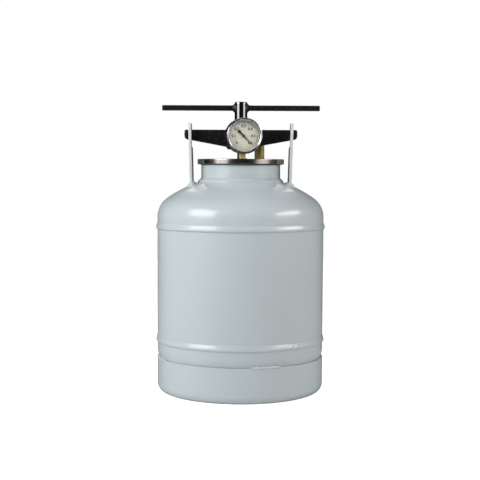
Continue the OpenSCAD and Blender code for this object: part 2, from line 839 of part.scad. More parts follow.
module valve_knob() {
  color("goldenrod") at_valve() difference() {
    translate([0, 0, knob_z]) cylinder(d = knob_d, h = knob_h);
    translate([0, 0, knob_z - eps])
      cylinder(r = valve_stem_r + fit_gap, h = knob_h - knob_roof + fit_gap + eps);
  }
}

// Clamp

module yoke() {
  module arm() {
    tip_z = yoke_top_z - tip_h;
    root_z = yoke_top_z - root_h;
    polygon([[0, yoke_top_z], [yoke_x - yoke_top_r, yoke_top_z], [yoke_x, yoke_top_z - yoke_top_r],
             [yoke_x, tip_z + yoke_tip_r], [yoke_x - yoke_tip_r, tip_z], [hub_r, root_z], [0, root_z]]);
    translate([yoke_x - yoke_top_r, yoke_top_z - yoke_top_r]) circle(r = yoke_top_r);
    translate([yoke_x - yoke_tip_r, tip_z + yoke_tip_r]) circle(r = yoke_tip_r);
  }
  color("#1a1a1c") difference() {
    union() {
      translate([0, yoke_t / 2, 0]) rotate([90, 0, 0]) linear_extrude(height = yoke_t) {
        arm();
        mirror([1, 0]) arm();
      }
      translate([0, 0, hub_end_z]) cylinder(r = hub_r, h = hub_h);
    }
    translate([0, 0, hub_end_z - eps]) cylinder(r = screw_r + run_gap, h = hub_h + 2 * eps);
  }
}

module clamp_screw() {
  color("gainsboro") difference() {
    union() {
      translate([0, 0, head_z]) cylinder(r1 = head_r - head_bevel, r2 = head_r, h = head_bevel);
      translate([0, 0, head_z + head_bevel]) cylinder(r = head_r, h = head_h - 2 * head_bevel);
      translate([0, 0, head_top_z - head_bevel])
        cylinder(r1 = head_r, r2 = head_r - head_bevel, h = head_bevel);
      translate([0, 0, hub_end_z]) cylinder(r = screw_r, h = head_z - hub_end_z);
      translate([0, 0, lid_top_z + run_gap]) cylinder(r = tip_r, h = hub_end_z - lid_top_z - run_gap);
      translate([0, 0, collar_z + collar_h])
        cylinder(r = collar_neck_r, h = lid_top_z + run_gap - collar_z - collar_h);
      translate([0, 0, collar_z]) cylinder(r = collar_r, h = collar_h);
    }
    translate([0, 0, bar_z]) rotate([0, 90, 0]) cylinder(r = bar_r + fit_gap, h = 2 * head_d, center = true);
  }
}

module tommy_bar() {
  color("#141416") translate([-bar_l / 2, 0, bar_z]) rotate([0, 90, 0]) {
    cylinder(r1 = bar_r - bar_bevel, r2 = bar_r, h = bar_bevel);
    translate([0, 0, bar_bevel]) cylinder(r = bar_r, h = bar_l - 2 * bar_bevel);
    translate([0, 0, bar_l - bar_bevel]) cylinder(r1 = bar_r, r2 = bar_r - bar_bevel, h = bar_bevel);
  }
}

// Cone-shaped fillets round the bar, cut to the side of the head
module bar_welds() {
  color("#141416") difference() {
    for (side = [-1, 1]) translate([0, 0, bar_z]) rotate([0, side * 90, 0]) difference() {
      translate([0, 0, head_r - 2 * bar_weld])
        cylinder(r1 = bar_r + 2 * bar_weld, r2 = bar_r + fit_gap + eps, h = 3 * bar_weld);
      cylinder(r = bar_r + fit_gap, h = bar_l);
      translate([0, 0, -head_r]) cylinder(r = 2 * head_r, h = head_r);
    }
    translate([0, 0, head_z - head_h]) cylinder(r = head_r + fit_gap, h = 3 * head_h);
  }
}

shell();
upper_dome();
lower_dome();
upper_seam_weld();
lower_seam_weld();
upper_backing_ring();
lower_backing_ring();
neck();
neck_weld_ring();
foot_ring();
foot_tack_welds();
left_hook();
right_hook();
jar_grid();
lid_plate();
lid_gasket();
screw_socket();
collar_keepers();
keeper_screws();
gauge_washer();
gauge_socket();
gauge_case();
gauge_bezel();
gauge_window();
gauge_dial();
bourdon_tube();
movement_frame();
gauge_pointer();
pointer_pinion();
sector_gear();
bourdon_link();
valve_washer();
valve_body();
valve_cap();
valve_spring();
valve_poppet();
poppet_seal();
valve_knob();
yoke();
clamp_screw();
tommy_bar();
bar_welds();
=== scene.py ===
import json
import math

import bmesh
import bpy
import numpy as np
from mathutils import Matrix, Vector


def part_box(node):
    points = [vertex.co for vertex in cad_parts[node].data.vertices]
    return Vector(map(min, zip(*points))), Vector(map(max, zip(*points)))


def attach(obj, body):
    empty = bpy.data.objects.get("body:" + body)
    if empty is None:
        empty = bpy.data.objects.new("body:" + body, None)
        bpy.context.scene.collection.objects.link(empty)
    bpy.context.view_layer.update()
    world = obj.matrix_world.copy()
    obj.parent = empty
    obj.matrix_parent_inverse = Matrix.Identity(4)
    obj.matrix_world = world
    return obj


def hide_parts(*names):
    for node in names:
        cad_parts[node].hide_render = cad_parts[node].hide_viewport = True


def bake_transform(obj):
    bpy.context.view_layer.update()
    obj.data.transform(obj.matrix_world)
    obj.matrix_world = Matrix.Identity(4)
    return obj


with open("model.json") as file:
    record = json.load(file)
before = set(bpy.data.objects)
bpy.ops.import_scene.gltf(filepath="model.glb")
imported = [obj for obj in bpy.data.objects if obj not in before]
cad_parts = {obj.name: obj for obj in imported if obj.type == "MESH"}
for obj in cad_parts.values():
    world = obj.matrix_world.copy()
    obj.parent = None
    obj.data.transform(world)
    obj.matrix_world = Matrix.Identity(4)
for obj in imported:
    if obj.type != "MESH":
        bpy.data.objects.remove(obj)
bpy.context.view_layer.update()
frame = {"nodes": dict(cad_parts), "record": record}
print("frame loaded,", len(frame["nodes"]), "nodes")

scene = bpy.context.scene
toMetres = 0.001                     # sizes in the dictionaries are millimetres, meshes are metres
fullTurn = 2 * np.pi
upward = (0, 0, 1)
crispAngle = math.radians(40)        # edges sharper than this stay crisp under smooth shading
mergeGap = 1e-7                      # points nearer than this, in metres, become one
bodies = frame["record"]["behaviour"]["bodies"]
bodyOfNode = {node: body for body, nodes in bodies.items() for node in nodes}


def nodeBox(node):
    # Lowest and highest corner of a node at rest, as two arrays in millimetres
    low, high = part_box(node)
    return np.array(low) / toMetres, np.array(high) / toMetres


def nodeMiddle(node):
    # Middle of a node's box at rest, in millimetres
    return np.sum(nodeBox(node), 0) / 2


def pick(settings, *names):
    # Several values of one settings dictionary
    return [settings[name] for name in names]


# Camera at the photograph's viewing angle
cameraSet = {"lens": 83.1, "sensor": 36, "near": 0.05, "far": 60, "place": (0.0, -2.000, 0.395),
             "pitchDown": 3.52, "roll": -0.26, "turn": 0.037}


def addCamera():
    # Looks along +Y, tipped down by pitchDown, rolled about Y and turned about Z
    data = bpy.data.cameras.new("photoCamera")
    data.lens = cameraSet["lens"]
    data.sensor_width = cameraSet["sensor"]
    data.clip_start, data.clip_end = cameraSet["near"], cameraSet["far"]
    camera = bpy.data.objects.new("photoCamera", data)
    camera.location = cameraSet["place"]
    angles = (90 - cameraSet["pitchDown"], cameraSet["roll"], cameraSet["turn"])
    camera.rotation_euler = [math.radians(angle) for angle in angles]
    scene.collection.objects.link(camera)
    scene.camera = camera


addCamera()
print("camera placed")


# Shapes on number grids

def joinCells(rows, columns, rowsClosed, columnsClosed):
    # Four corners of every cell, (i, j), (i+1, j), (i+1, j+1), (i, j+1); a closed direction runs back to its
    # start
    i, j = np.meshgrid(np.arange(rows if rowsClosed else rows - 1),
                       np.arange(columns if columnsClosed else columns - 1), indexing="ij")
    down, right = (i + 1) % rows, (j + 1) % columns
    corners = [i * columns + j, down * columns + j, down * columns + right, i * columns + right]
    return np.stack(corners, -1).reshape(-1, 4).tolist()


def gridSheet(points, rowsClosed=True, columnsClosed=True, capped=False):
    # A grid of points with its cells; capped adds one many-sided face on the first and on the last row
    rows, columns = points.shape[:2]
    faces = joinCells(rows, columns, rowsClosed, columnsClosed)
    if capped:
        faces.append(list(range(columns)))
        faces.append(list(range((rows - 1) * columns, rows * columns)))
    return points.reshape(-1, 3), faces


def unit(vectors):
    # Each row divided by its length
    return vectors / np.linalg.norm(vectors, axis=1)[:, None]


def ringAngles(steps):
    # Even angles round a full turn, without the last one, which would meet the first
    return np.linspace(0, fullTurn, steps, endpoint=False)


def onCircle(radius, angle, *more):
    # Points (r cos a, r sin a), followed by more coordinates where they are given
    return np.stack([radius * np.cos(angle), radius * np.sin(angle), *more], -1)


def rectangle(left, right, low, high):
    # Its four corners, anticlockwise from the lower left
    return [(left, low), (right, low), (right, high), (left, high)]


def roundedLine(corners, radii, steps=7, closed=True):
    # Broken line with round corners: an arc touches both legs at radius / tan(half the corner's angle) from
    # the corner, about a centre on the bisector; a straight stretch beside each arc, as long as the radius
    # but at most a third of what the leg has left, keeps flats flat
    corner = np.array(corners, float)
    radius = np.broadcast_to(np.array(radii, float), len(corner))
    back = np.roll(corner, 1, 0) - corner
    ahead = np.roll(corner, -1, 0) - corner
    backLength = np.linalg.norm(back, axis=1)
    aheadLength = np.linalg.norm(ahead, axis=1)
    back, ahead = unit(back), unit(ahead)
    half = np.arccos(np.clip((back * ahead).sum(1), -0.9999, 0.9999)) / 2
    reach = radius / np.tan(half)
    centre = corner + unit(back + ahead) * (radius / np.sin(half))[:, None]
    first = corner + back * reach[:, None] - centre
    last = corner + ahead * reach[:, None] - centre
    start = np.arctan2(first[:, 1], first[:, 0])
    sweep = (np.arctan2(last[:, 1], last[:, 0]) - start + np.pi) % fullTurn - np.pi
    angle = start[:, None] + sweep[:, None] * np.linspace(0, 1, steps)
    arc = centre[:, None] + onCircle(radius[:, None], angle)
    spareBack = np.minimum(radius, (backLength - reach - np.roll(reach, 1)) / 3)
    spareAhead = np.minimum(radius, (aheadLength - reach - np.roll(reach, -1)) / 3)
    before = arc[:, :1] + (back * spareBack[:, None])[:, None]
    after = arc[:, -1:] + (ahead * spareAhead[:, None])[:, None]
    line = np.concatenate([before, arc, after], 1)
    if closed:
        return line.reshape(-1, 2)
    return np.concatenate([corner[:1], line[1:-1].reshape(-1, 2), corner[-1:]])


def evenSteps(line, count):
    # Closed line resampled to count points at even distances along it
    ring = np.concatenate([line, line[:1]])
    run = np.concatenate([[0], np.cumsum(np.linalg.norm(np.diff(ring, axis=0), axis=1))])
    places = np.linspace(0, run[-1], count, endpoint=False)
    return np.stack([np.interp(places, run, ring[:, k]) for k in range(ring.shape[1])], -1)


def revolve(line, steps, swell=None, closed=True):
    # Each point (r, z) of the line is carried round Z to (r cos a, r sin a, z); swell(a, r, z) is added to r
    angle = ringAngles(steps)[:, None]
    radius = np.broadcast_to(line[None, :, 0], (steps, len(line)))
    height = np.broadcast_to(line[None, :, 1], (steps, len(line)))
    if swell is not None:
        radius = radius + swell(angle, radius, height)
    return gridSheet(onCircle(radius, angle, height), True, closed)


def sweepTube(path, wide, high, sides, closed=False):
    # Oval of half-axes wide and high carried along a path; wide lies along tangent x up, high across both
    tangent = np.gradient(path, axis=0)
    if closed:
        tangent = np.roll(path, -1, 0) - np.roll(path, 1, 0)
    side = unit(np.cross(tangent, upward))
    lift = unit(np.cross(side, tangent))
    angle = ringAngles(sides)
    wide = np.broadcast_to(wide, len(path))[:, None, None]
    high = np.broadcast_to(high, len(path))[:, None, None]
    ring = side[:, None] * wide * np.cos(angle)[:, None] + lift[:, None] * high * np.sin(angle)[:, None]
    return gridSheet(path[:, None] + ring, closed, True, not closed)


def outwardSide(outline):
    # Unit normals of a closed outline, to the outside: the tangent turned by a quarter, with the area's sign
    tangent = np.roll(outline, -1, 0) - np.roll(outline, 1, 0)
    x, y = outline.T
    sign = np.sign((x * np.roll(y, -1) - np.roll(x, -1) * y).sum())
    return unit(sign * np.stack([tangent[:, 1], -tangent[:, 0]], -1))


def uprightPlace(u, v, height):
    # Plan outline extruded along Z
    return np.stack([u, v, height], -1)


def plateSheet(outline, low, high, edge, place=uprightPlace, steps=5):
    # Flat plate with round edges: rings of the outline drawn in by edge (1 - sin t) while they climb by
    # edge (1 - cos t) from the low face, mirrored at the high face; place turns (u, v, height) into points
    t = np.linspace(0, np.pi / 2, steps)
    draw = np.concatenate([[2 * edge], edge * (1 - np.sin(t))])
    climb = np.concatenate([[0], edge * (1 - np.cos(t))])
    inset = np.concatenate([draw, draw[::-1]])
    height = np.concatenate([low + climb, (high - climb)[::-1]])
    flat = outline[None] - outwardSide(outline)[None] * inset[:, None, None]
    points = place(flat[..., 0], flat[..., 1], height[:, None] + 0 * flat[..., 0])
    return gridSheet(points, False, True, True)


def shifted(sheet, offset):
    # The sheet moved by an offset
    points, faces = sheet
    return points + np.array(offset), faces


def roundBar(radius, low, high, spot, sides=48):
    # Plain closed cylinder on a spot of the plan
    line = np.array(rectangle(0, radius, low, high), float)
    return shifted(revolve(line, sides, closed=False), (*spot, 0))


def lumpy(run, *waves):
    # 1 plus the sum of size x sin(count x run + start) over the waves (size, count, start)
    return 1 + sum(size * np.sin(count * run + start) for size, count, start in waves)


def joinSheets(name, sheets, material):
    # One mesh in metres from several sheets: doubles at poles are merged, faces turned outwards and shaded
    # smooth with crisp edges; its object stays at the origin
    mesh = bpy.data.meshes.new(name)
    starts = np.cumsum([0] + [len(points) for points, faces in sheets])
    points = np.concatenate([points for points, faces in sheets]) * toMetres
    faces = [[corner + start for corner in face]
             for start, (_, cells) in zip(starts, sheets) for face in cells]
    mesh.from_pydata(points, [], faces)
    shape = bmesh.new()
    shape.from_mesh(mesh)
    bmesh.ops.remove_doubles(shape, verts=shape.verts, dist=mergeGap)
    bmesh.ops.recalc_face_normals(shape, faces=shape.faces)
    shape.to_mesh(mesh)
    shape.free()
    mesh.shade_smooth()
    mesh.set_sharp_from_angle(angle=crispAngle)
    mesh.materials.append(material)
    piece = bpy.data.objects.new(name, mesh)
    scene.collection.objects.link(piece)
    return piece


def addTrim(name, sheets, material, body):
    # A piece that stands for no node of its own, such as a weld bead or printed marks
    piece = joinSheets(name, sheets, material)
    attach(piece, body)
    return piece


def makePiece(name, sheets, material, node):
    # A piece that rides its node's body and stands for the node
    piece = addTrim(name, sheets, material, bodyOfNode[node])
    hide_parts(node)
    return piece


def meshOf(holder):
    # New mesh of an object as its modifiers or its font make it
    scene.view_layers.update()
    return bpy.data.meshes.new_from_object(holder.evaluated_get(bpy.context.evaluated_depsgraph_get()))


def drill(piece, cutters):
    # Cuts closed sheets out of a piece for good, so that no modifier stays on it
    tool = joinSheets("drillTool", cutters, piece.data.materials[0])
    cut = piece.modifiers.new("holes", "BOOLEAN")
    cut.operation = "DIFFERENCE"
    cut.solver = "EXACT"
    cut.object = tool
    drilled = meshOf(piece)
    piece.modifiers.clear()
    piece.data = drilled
    drilled.set_sharp_from_angle(angle=crispAngle)
    bpy.data.objects.remove(tool)


# Finishes

def startMaterial(name):
    # New material with its shader and the piece's own coordinates in metres
    material = bpy.data.materials.new(name)
    material.use_nodes = True
    tree = material.node_tree
    where = tree.nodes.new("ShaderNodeTexCoord").outputs["Object"]
    return material, tree, tree.nodes["Principled BSDF"], where


def setInputs(node, values):
    # Sets each value on the node's socket of that name
    for socket, value in values.items():
        node.inputs[socket].default_value = value


def feed(tree, node, outputs):
    # Links each output to the node's socket of that name or number
    for socket, output in outputs.items():
        tree.links.new(output, node.inputs[socket])


def addNode(tree, kind, values, outputs):
    # New shader node of a kind, with values set on its sockets and outputs of other nodes linked to them
    node = tree.nodes.new("ShaderNode" + kind)
    setInputs(node, values)
    feed(tree, node, outputs)
    return node


def addNoise(tree, where, scale, detail=3, rough=0.5, stretch=None):
    # Noise in 0..1 with scale cells a metre; rough weighs its finer layers, stretch multiplies the three axes
    if stretch is not None:
        where = addNode(tree, "Mapping", {"Scale": stretch}, {"Vector": where}).outputs["Vector"]
    values = {"Scale": scale, "Detail": detail, "Roughness": rough}
    return addNode(tree, "TexNoise", values, {"Vector": where}).outputs["Fac"]


def addRings(tree, where, centre, scale, axis, distortion):
    # Turning marks: rings about an axis through a centre, scale rings a metre
    mapping = addNode(tree, "Mapping", {"Location": [-value for value in centre]}, {"Vector": where})
    values = {"Scale": scale, "Distortion": distortion, "Detail": 2}
    rings = addNode(tree, "TexWave", values, {"Vector": mapping.outputs["Vector"]})
    rings.wave_type = "RINGS"
    rings.rings_direction = axis
    return rings.outputs["Fac"]


def addRange(tree, value, low, high, fromLow=0.0, fromHigh=1.0):
    # Maps a value from one range to another, kept within it
    limits = {"From Min": fromLow, "From Max": fromHigh, "To Min": low, "To Max": high}
    return addNode(tree, "MapRange", limits, {"Value": value}).outputs["Result"]


def addBlend(tree, share, first, second):
    # Colour between first and second by share; each is a colour or another node's output
    node = tree.nodes.new("ShaderNodeMix")
    node.data_type = "RGBA"
    feed(tree, node, {"Factor": share})
    for socket, colour in ((node.inputs[6], first), (node.inputs[7], second)):
        if isinstance(colour, tuple):
            socket.default_value = (*colour, 1)
        else:
            tree.links.new(colour, socket)
    return node.outputs[2]


def addBump(tree, height, depth, under=None):
    # Bump of a given depth in metres, over another bump where under is given
    node = addNode(tree, "Bump", {"Strength": 1.0, "Distance": depth}, {"Height": height})
    if under is not None:
        feed(tree, node, {"Normal": under})
    return node.outputs["Normal"]


def addEither(tree, share, first, second):
    # Shader between first and second by share
    return addNode(tree, "MixShader", {}, {0: share, 1: first, 2: second}).outputs[0]


enamelSet = {"vesselPaint": ((0.530, 0.586, 0.609), (0.518, 0.574, 0.597)),
             # the hooks' greys are paler than the vessel's, though both are one paint: painted light for the
             # brightness the thin plates catch
             "hookPaintWithPaintedLight": ((0.700, 0.712, 0.714), (0.670, 0.684, 0.688)),
             "cloudScale": 9, "cloudRange": (0.3, 0.7), "peelScale": 330, "peelDepth": 0.00003,
             "roughness": (0.30, 0.33), "coat": 0.45, "coatRoughness": 0.09}


def makeEnamel(name):
    # Light enamel: two close greys clouded together, orange peel in the bump, a clear gloss on top
    material, tree, shader, where = startMaterial(name)
    light, dark = enamelSet[name]
    cloud = addNoise(tree, where, enamelSet["cloudScale"])
    normal = addBump(tree, addNoise(tree, where, enamelSet["peelScale"], 2), enamelSet["peelDepth"])
    roughness = addRange(tree, cloud, *enamelSet["roughness"], *enamelSet["cloudRange"])
    feed(tree, shader, {"Base Color": addBlend(tree, cloud, dark, light), "Roughness": roughness,
                        "Normal": normal, "Coat Normal": normal})
    setInputs(shader, {"Coat Weight": enamelSet["coat"], "Coat Roughness": enamelSet["coatRoughness"]})
    return material


coatingSet = {
    # Black enamel on rough steel: faint scuffs lift the black, a lumpy ground shows in the gloss
    "blackPaint": {"tones": ((0.010, 0.010, 0.011), (0.020, 0.020, 0.021)), "roughness": (0.26, 0.36),
                   "patch": (160, 6, 0.65), "patchRange": (0.52, 0.72),
                   "grains": ((240, 3, 0.00005), (1500, 2, 0.000006))},
    # Dark rubber with a chalky bloom and a fine moulded grain
    "gasketRubber": {"tones": ((0.020, 0.018, 0.016), (0.060, 0.052, 0.045)), "roughness": (0.55, 0.8),
                     "patch": (90, 6, 0.5), "patchRange": (0.4, 0.7), "grains": ((1200, 3, 0.00005),)},
    # Ivory enamel, a little yellowed in clouds
    "dialPaint": {"tones": ((0.90, 0.87, 0.75), (0.84, 0.80, 0.66)), "roughness": (0.4, 0.55),
                  "patch": (45, 3, 0.5), "patchRange": (0, 1), "grains": ((1800, 2, 0.00001),)},
    # Printed black, thin enough to let the ivory show in specks
    "dialInk": {"tones": ((0.02, 0.02, 0.02), (0.16, 0.155, 0.13)), "roughness": (0.45, 0.6),
                "patch": (3000, 2, 0.5), "patchRange": (0.62, 0.8), "grains": ()},
}


def makeCoating(name):
    # Two tones, blended by a noise (scale, detail, rough) that also sets the roughness; each grain is a noise
    # (scale, detail, depth) in the bump, laid over the one before
    material, tree, shader, where = startMaterial(name)
    coating = coatingSet[name]
    patch = addRange(tree, addNoise(tree, where, *coating["patch"]), 0, 1, *coating["patchRange"])
    feed(tree, shader, {"Base Color": addBlend(tree, patch, *coating["tones"]),
                        "Roughness": addRange(tree, patch, *coating["roughness"])})
    normal = None
    for scale, detail, depth in coating["grains"]:
        normal = addBump(tree, addNoise(tree, where, scale, detail), depth, normal)
    if normal is not None:
        feed(tree, shader, {"Normal": normal})
    return material


turningSet = {"stain": (30, 6, 0.6), "stainRange": (0.4, 0.65), "wander": 1.5, "grainScale": 2200,
              "grease": (0.055, 0.048, 0.040), "greaseEdge": 0.001}


def makeTurnedMetal(name, light, dark, roughness, centre=(0, 0, 0), axis="Z", ringScale=900,
                    ringDepth=0.000008, greasedUnder=None, bare=1.0):
    # Turned metal: stains blend two tones and two roughnesses, fine rings about the turning axis ripple the
    # polish, and dark grease covers what lies under a height in metres; a bare share under 1 stands for a
    # dull film on the metal
    material, tree, shader, where = startMaterial(name)
    stain = addRange(tree, addNoise(tree, where, *turningSet["stain"]), 0, 1, *turningSet["stainRange"])
    tone = addBlend(tree, stain, light, dark)
    if greasedUnder is not None:
        place = addNode(tree, "SeparateXYZ", {}, {0: where})
        edge = greasedUnder - turningSet["greaseEdge"]
        grease = addRange(tree, place.outputs["Z"], 1, 0, edge, greasedUnder)
        tone = addBlend(tree, grease, tone, turningSet["grease"])
    rings = addBump(tree, addRings(tree, where, centre, ringScale, axis, turningSet["wander"]), ringDepth)
    grain = addNoise(tree, where, turningSet["grainScale"], 2)
    feed(tree, shader, {"Base Color": tone, "Roughness": addRange(tree, stain, *roughness),
                        "Normal": addBump(tree, grain, ringDepth / 2, rings)})
    setInputs(shader, {"Metallic": bare})
    return material


glassSet = {"smearScale": 80, "smearStretch": (1, 1, 0.3), "smearRange": (0.5, 0.8),
            "roughness": (0.0, 0.04), "tones": ((1.0, 1.0, 1.0), (0.97, 0.99, 0.98)), "bending": 1.45}


def makeWindowGlass():
    # Clear glass with a trace of smear in its gloss, which lets lamps and room light through to the dial
    material, tree, shader, where = startMaterial("windowGlass")
    smear = addNoise(tree, where, glassSet["smearScale"], 4, stretch=glassSet["smearStretch"])
    roughness = addRange(tree, smear, *glassSet["roughness"], *glassSet["smearRange"])
    feed(tree, shader, {"Roughness": roughness, "Base Color": addBlend(tree, smear, *glassSet["tones"])})
    setInputs(shader, {"Transmission Weight": 1.0, "IOR": glassSet["bending"]})
    clear = tree.nodes.new("ShaderNodeBsdfTransparent")
    rays = tree.nodes.new("ShaderNodeLightPath").outputs
    lightRay = addNode(tree, "Math", {}, {0: rays["Is Shadow Ray"], 1: rays["Is Diffuse Ray"]})
    lightRay.operation = "MAXIMUM"
    surface = addEither(tree, lightRay.outputs[0], shader.outputs[0], clear.outputs[0])
    feed(tree, tree.nodes["Material Output"], {"Surface": surface})
    return material


gaugeCentre = nodeMiddle("gauge_dial") * toMetres
valveCentre = nodeMiddle("valve_body") * toMetres
greaseLine = (nodeBox("yoke")[1][2] + 5) * toMetres          # the screw's oiled thread lies under this height

vesselPaint = makeEnamel("vesselPaint")
# Hook plates: the vessel's enamel in paler greys, painted light standing in for the light the plates catch
hookPaintWithPaintedLight = makeEnamel("hookPaintWithPaintedLight")
blackPaint = makeCoating("blackPaint")
gasketRubber = makeCoating("gasketRubber")
dialPaint = makeCoating("dialPaint")
dialInk = makeCoating("dialInk")
windowGlass = makeWindowGlass()
polishedSteel = makeTurnedMetal("polishedSteel", (0.46, 0.46, 0.47), (0.38, 0.38, 0.39), (0.09, 0.15),
                                ringScale=600, greasedUnder=greaseLine)
bezelSteel = makeTurnedMetal("bezelSteel", (0.84, 0.84, 0.85), (0.72, 0.72, 0.73), (0.20, 0.28),
                             gaugeCentre, "Y")
lidSteel = makeTurnedMetal("lidSteel", (0.46, 0.43, 0.40), (0.33, 0.30, 0.27), (0.20, 0.30),
                           ringScale=420, ringDepth=0.00002)
bareSteel = makeTurnedMetal("bareSteel", (0.42, 0.42, 0.43), (0.27, 0.26, 0.25), (0.25, 0.45))
gridSteel = makeTurnedMetal("gridSteel", (0.60, 0.60, 0.60), (0.46, 0.46, 0.45), (0.28, 0.42), ringScale=150)
stemBrass = makeTurnedMetal("stemBrass", (0.86, 0.79, 0.42), (0.72, 0.64, 0.30), (0.40, 0.52),
                            gaugeCentre, bare=0.35)
valveBrass = makeTurnedMetal("valveBrass", (0.78, 0.64, 0.24), (0.58, 0.45, 0.15), (0.34, 0.48),
                             valveCentre, bare=0.35)
washerCopper = makeTurnedMetal("washerCopper", (0.60, 0.33, 0.20), (0.34, 0.17, 0.10), (0.25, 0.45))
springSteel = makeTurnedMetal("springSteel", (0.50, 0.50, 0.50), (0.36, 0.36, 0.36), (0.2, 0.35))
print("finishes made")


# Vessel: rolled shell and two dished ends

vesselSet = {"crownRadius": 230, "knuckleRadius": 42, "sheet": 3, "neckGap": 0.1, "around": 288,
             "shellRows": 40, "crownSteps": 26, "knuckleSteps": 22, "flangeRows": (0.3, 0.7, 1.0),
             "wave": 0.10, "waves": ((5, 37), (3, -61))}
shellLow, shellHigh = nodeBox("shell")
bodyRadius = shellHigh[0]
knuckleX = bodyRadius - vesselSet["knuckleRadius"]
knuckleGap = vesselSet["crownRadius"] - vesselSet["knuckleRadius"]
crownDrop = math.sqrt(knuckleGap ** 2 - knuckleX ** 2)
domeHeight = vesselSet["crownRadius"] - crownDrop
lowerKnuckle = nodeBox("lower_dome")[0][2] + domeHeight
domeFlange = shellLow[2] - lowerKnuckle
upperKnuckle = shellHigh[2] + domeFlange
neckLow, neckHigh = nodeBox("neck")
neckRadius = neckHigh[0]


def paintedPiece(name, sheets, node):
    # A piece in the vessel's enamel
    return makePiece(name, sheets, vesselPaint, node)


def crownHeight(radius):
    # Height of the upper dome's outside over the floor at a distance from the axis, on its crown
    return upperKnuckle + np.sqrt(vesselSet["crownRadius"] ** 2 - radius ** 2) - crownDrop


def domeLine(inset, hole):
    # Half section of a dished end over its knuckle's level: crown arc from the hole, knuckle arc tangent to
    # it where cos(angle) = knuckleX / (crownRadius - knuckleRadius), then the straight flange
    crown = vesselSet["crownRadius"] - inset
    knuckle = vesselSet["knuckleRadius"] - inset
    rows = np.array(vesselSet["flangeRows"])
    meet = math.acos(knuckleX / knuckleGap)
    t = np.linspace(math.acos(hole / crown), meet, vesselSet["crownSteps"])
    s = np.linspace(meet, 0, vesselSet["knuckleSteps"])[1:]
    crownPart = onCircle(crown, t) - [0, crownDrop]
    knucklePart = onCircle(knuckle, s) + [knuckleX, 0]
    flange = np.stack([np.full(len(rows), bodyRadius - inset), -domeFlange * rows], -1)
    return np.concatenate([crownPart, knucklePart, flange])


def sheetWave(angle, radius, height):
    # Faint waves that rolling leaves in sheet: the mean of crossing sines of count x angle + height / run,
    # fading to nothing at both seams
    fade = np.sin(np.pi * np.clip((height - shellLow[2]) / (shellHigh[2] - shellLow[2]), 0, 1))
    crossing = sum(np.sin(count * angle + height / run) for count, run in vesselSet["waves"])
    return vesselSet["wave"] * fade * crossing / len(vesselSet["waves"])


def buildVessel():
    # Shell: a tube of sheet; ends: the outer section of a dome and the inner one back, turned about the axis
    around, sheet, rows = pick(vesselSet, "around", "sheet", "shellRows")
    heights = np.linspace(shellLow[2], shellHigh[2], rows)
    outer = np.stack([np.full(rows, bodyRadius), heights], -1)
    inner = np.stack([np.full(rows, bodyRadius - sheet), heights[::-1]], -1)
    paintedPiece("shellSkin", [revolve(np.concatenate([outer, inner]), around, sheetWave)], "shell")
    hole = neckRadius + vesselSet["neckGap"]
    upper = np.concatenate([domeLine(0, hole), domeLine(sheet, hole)[::-1]]) + [0, upperKnuckle]
    paintedPiece("upperDomeSkin", [revolve(upper, around)], "upper_dome")
    lower = np.concatenate([domeLine(0, 0), domeLine(sheet, 0)[::-1]]) * [1, -1] + [0, lowerKnuckle]
    paintedPiece("lowerDomeSkin", [revolve(lower, around, closed=False)], "lower_dome")


buildVessel()
print("vessel built")


# Weld beads under the paint

beadSet = {"around": 1080, "pitch": 5.2, "drift": 1.1, "bend": 2.4, "halfHigh": 6, "soft": 0.7, "level": 0.6,
           "wander": 0.12, "stopTurn": 307, "stopWide": 7, "stopLump": 2.5}


def beadRipple(pitch, depth):
    # Scales of a hand-laid weld: |sin| of the run along the bead, uneven by a sine, bent back across it,
    # softened by a power, and deeper by a bell of the turn where the run was stopped and begun again
    def swell(angle, radius, height):
        run = angle * bodyRadius / pitch + beadSet["drift"] * np.sin(19 * angle + 2 * np.sin(5 * angle))
        bend = beadSet["bend"] * ((height - height.mean()) / beadSet["halfHigh"]) ** 2
        stop = np.exp(-(np.degrees(angle) - beadSet["stopTurn"]) ** 2 / beadSet["stopWide"] ** 2)
        scales = np.abs(np.sin(np.pi * run - bend)) ** beadSet["soft"] - beadSet["level"]
        wander = beadSet["wander"] * np.sin(7 * angle + np.sin(3 * angle))
        return depth * (1 + beadSet["stopLump"] * stop) * scales + wander
    return swell


seamSet = {"corners": [(-0.8, 6.4), (-0.8, -6.1), (0.4, -5.9), (2.45, -3.6), (2.35, -0.6), (0.2, 5.9)],
           "radii": [0.2, 0.2, 0.6, 1.6, 2.6, 3.0], "upperDepth": 0.05, "lowerDepth": 0.18}


def buildSeam(name, node, depth):
    # Seam bead: a low hump with a long upper and a short lower slope, sunk a little into the shell
    line = roundedLine(seamSet["corners"], seamSet["radii"]) + [bodyRadius, nodeMiddle(node)[2]]
    paintedPiece(name, [revolve(line, beadSet["around"], beadRipple(beadSet["pitch"], depth))], node)


buildSeam("upperSeamBead", "upper_seam_weld", seamSet["upperDepth"])
buildSeam("lowerSeamBead", "lower_seam_weld", seamSet["lowerDepth"])

neckSet = {"wall": 4, "edge": 1.2, "around": 240, "beadOut": 5.6, "beadUp": 6.0, "beadSink": 0.9,
           "toeUp": 2.0, "bellyShare": 0.55, "bellyUp": 2.6, "beadRadii": [0.2, 0.2, 0.3, 1.4, 2.6],
           "ripplePitch": 6, "rippleDepth": 0.12}


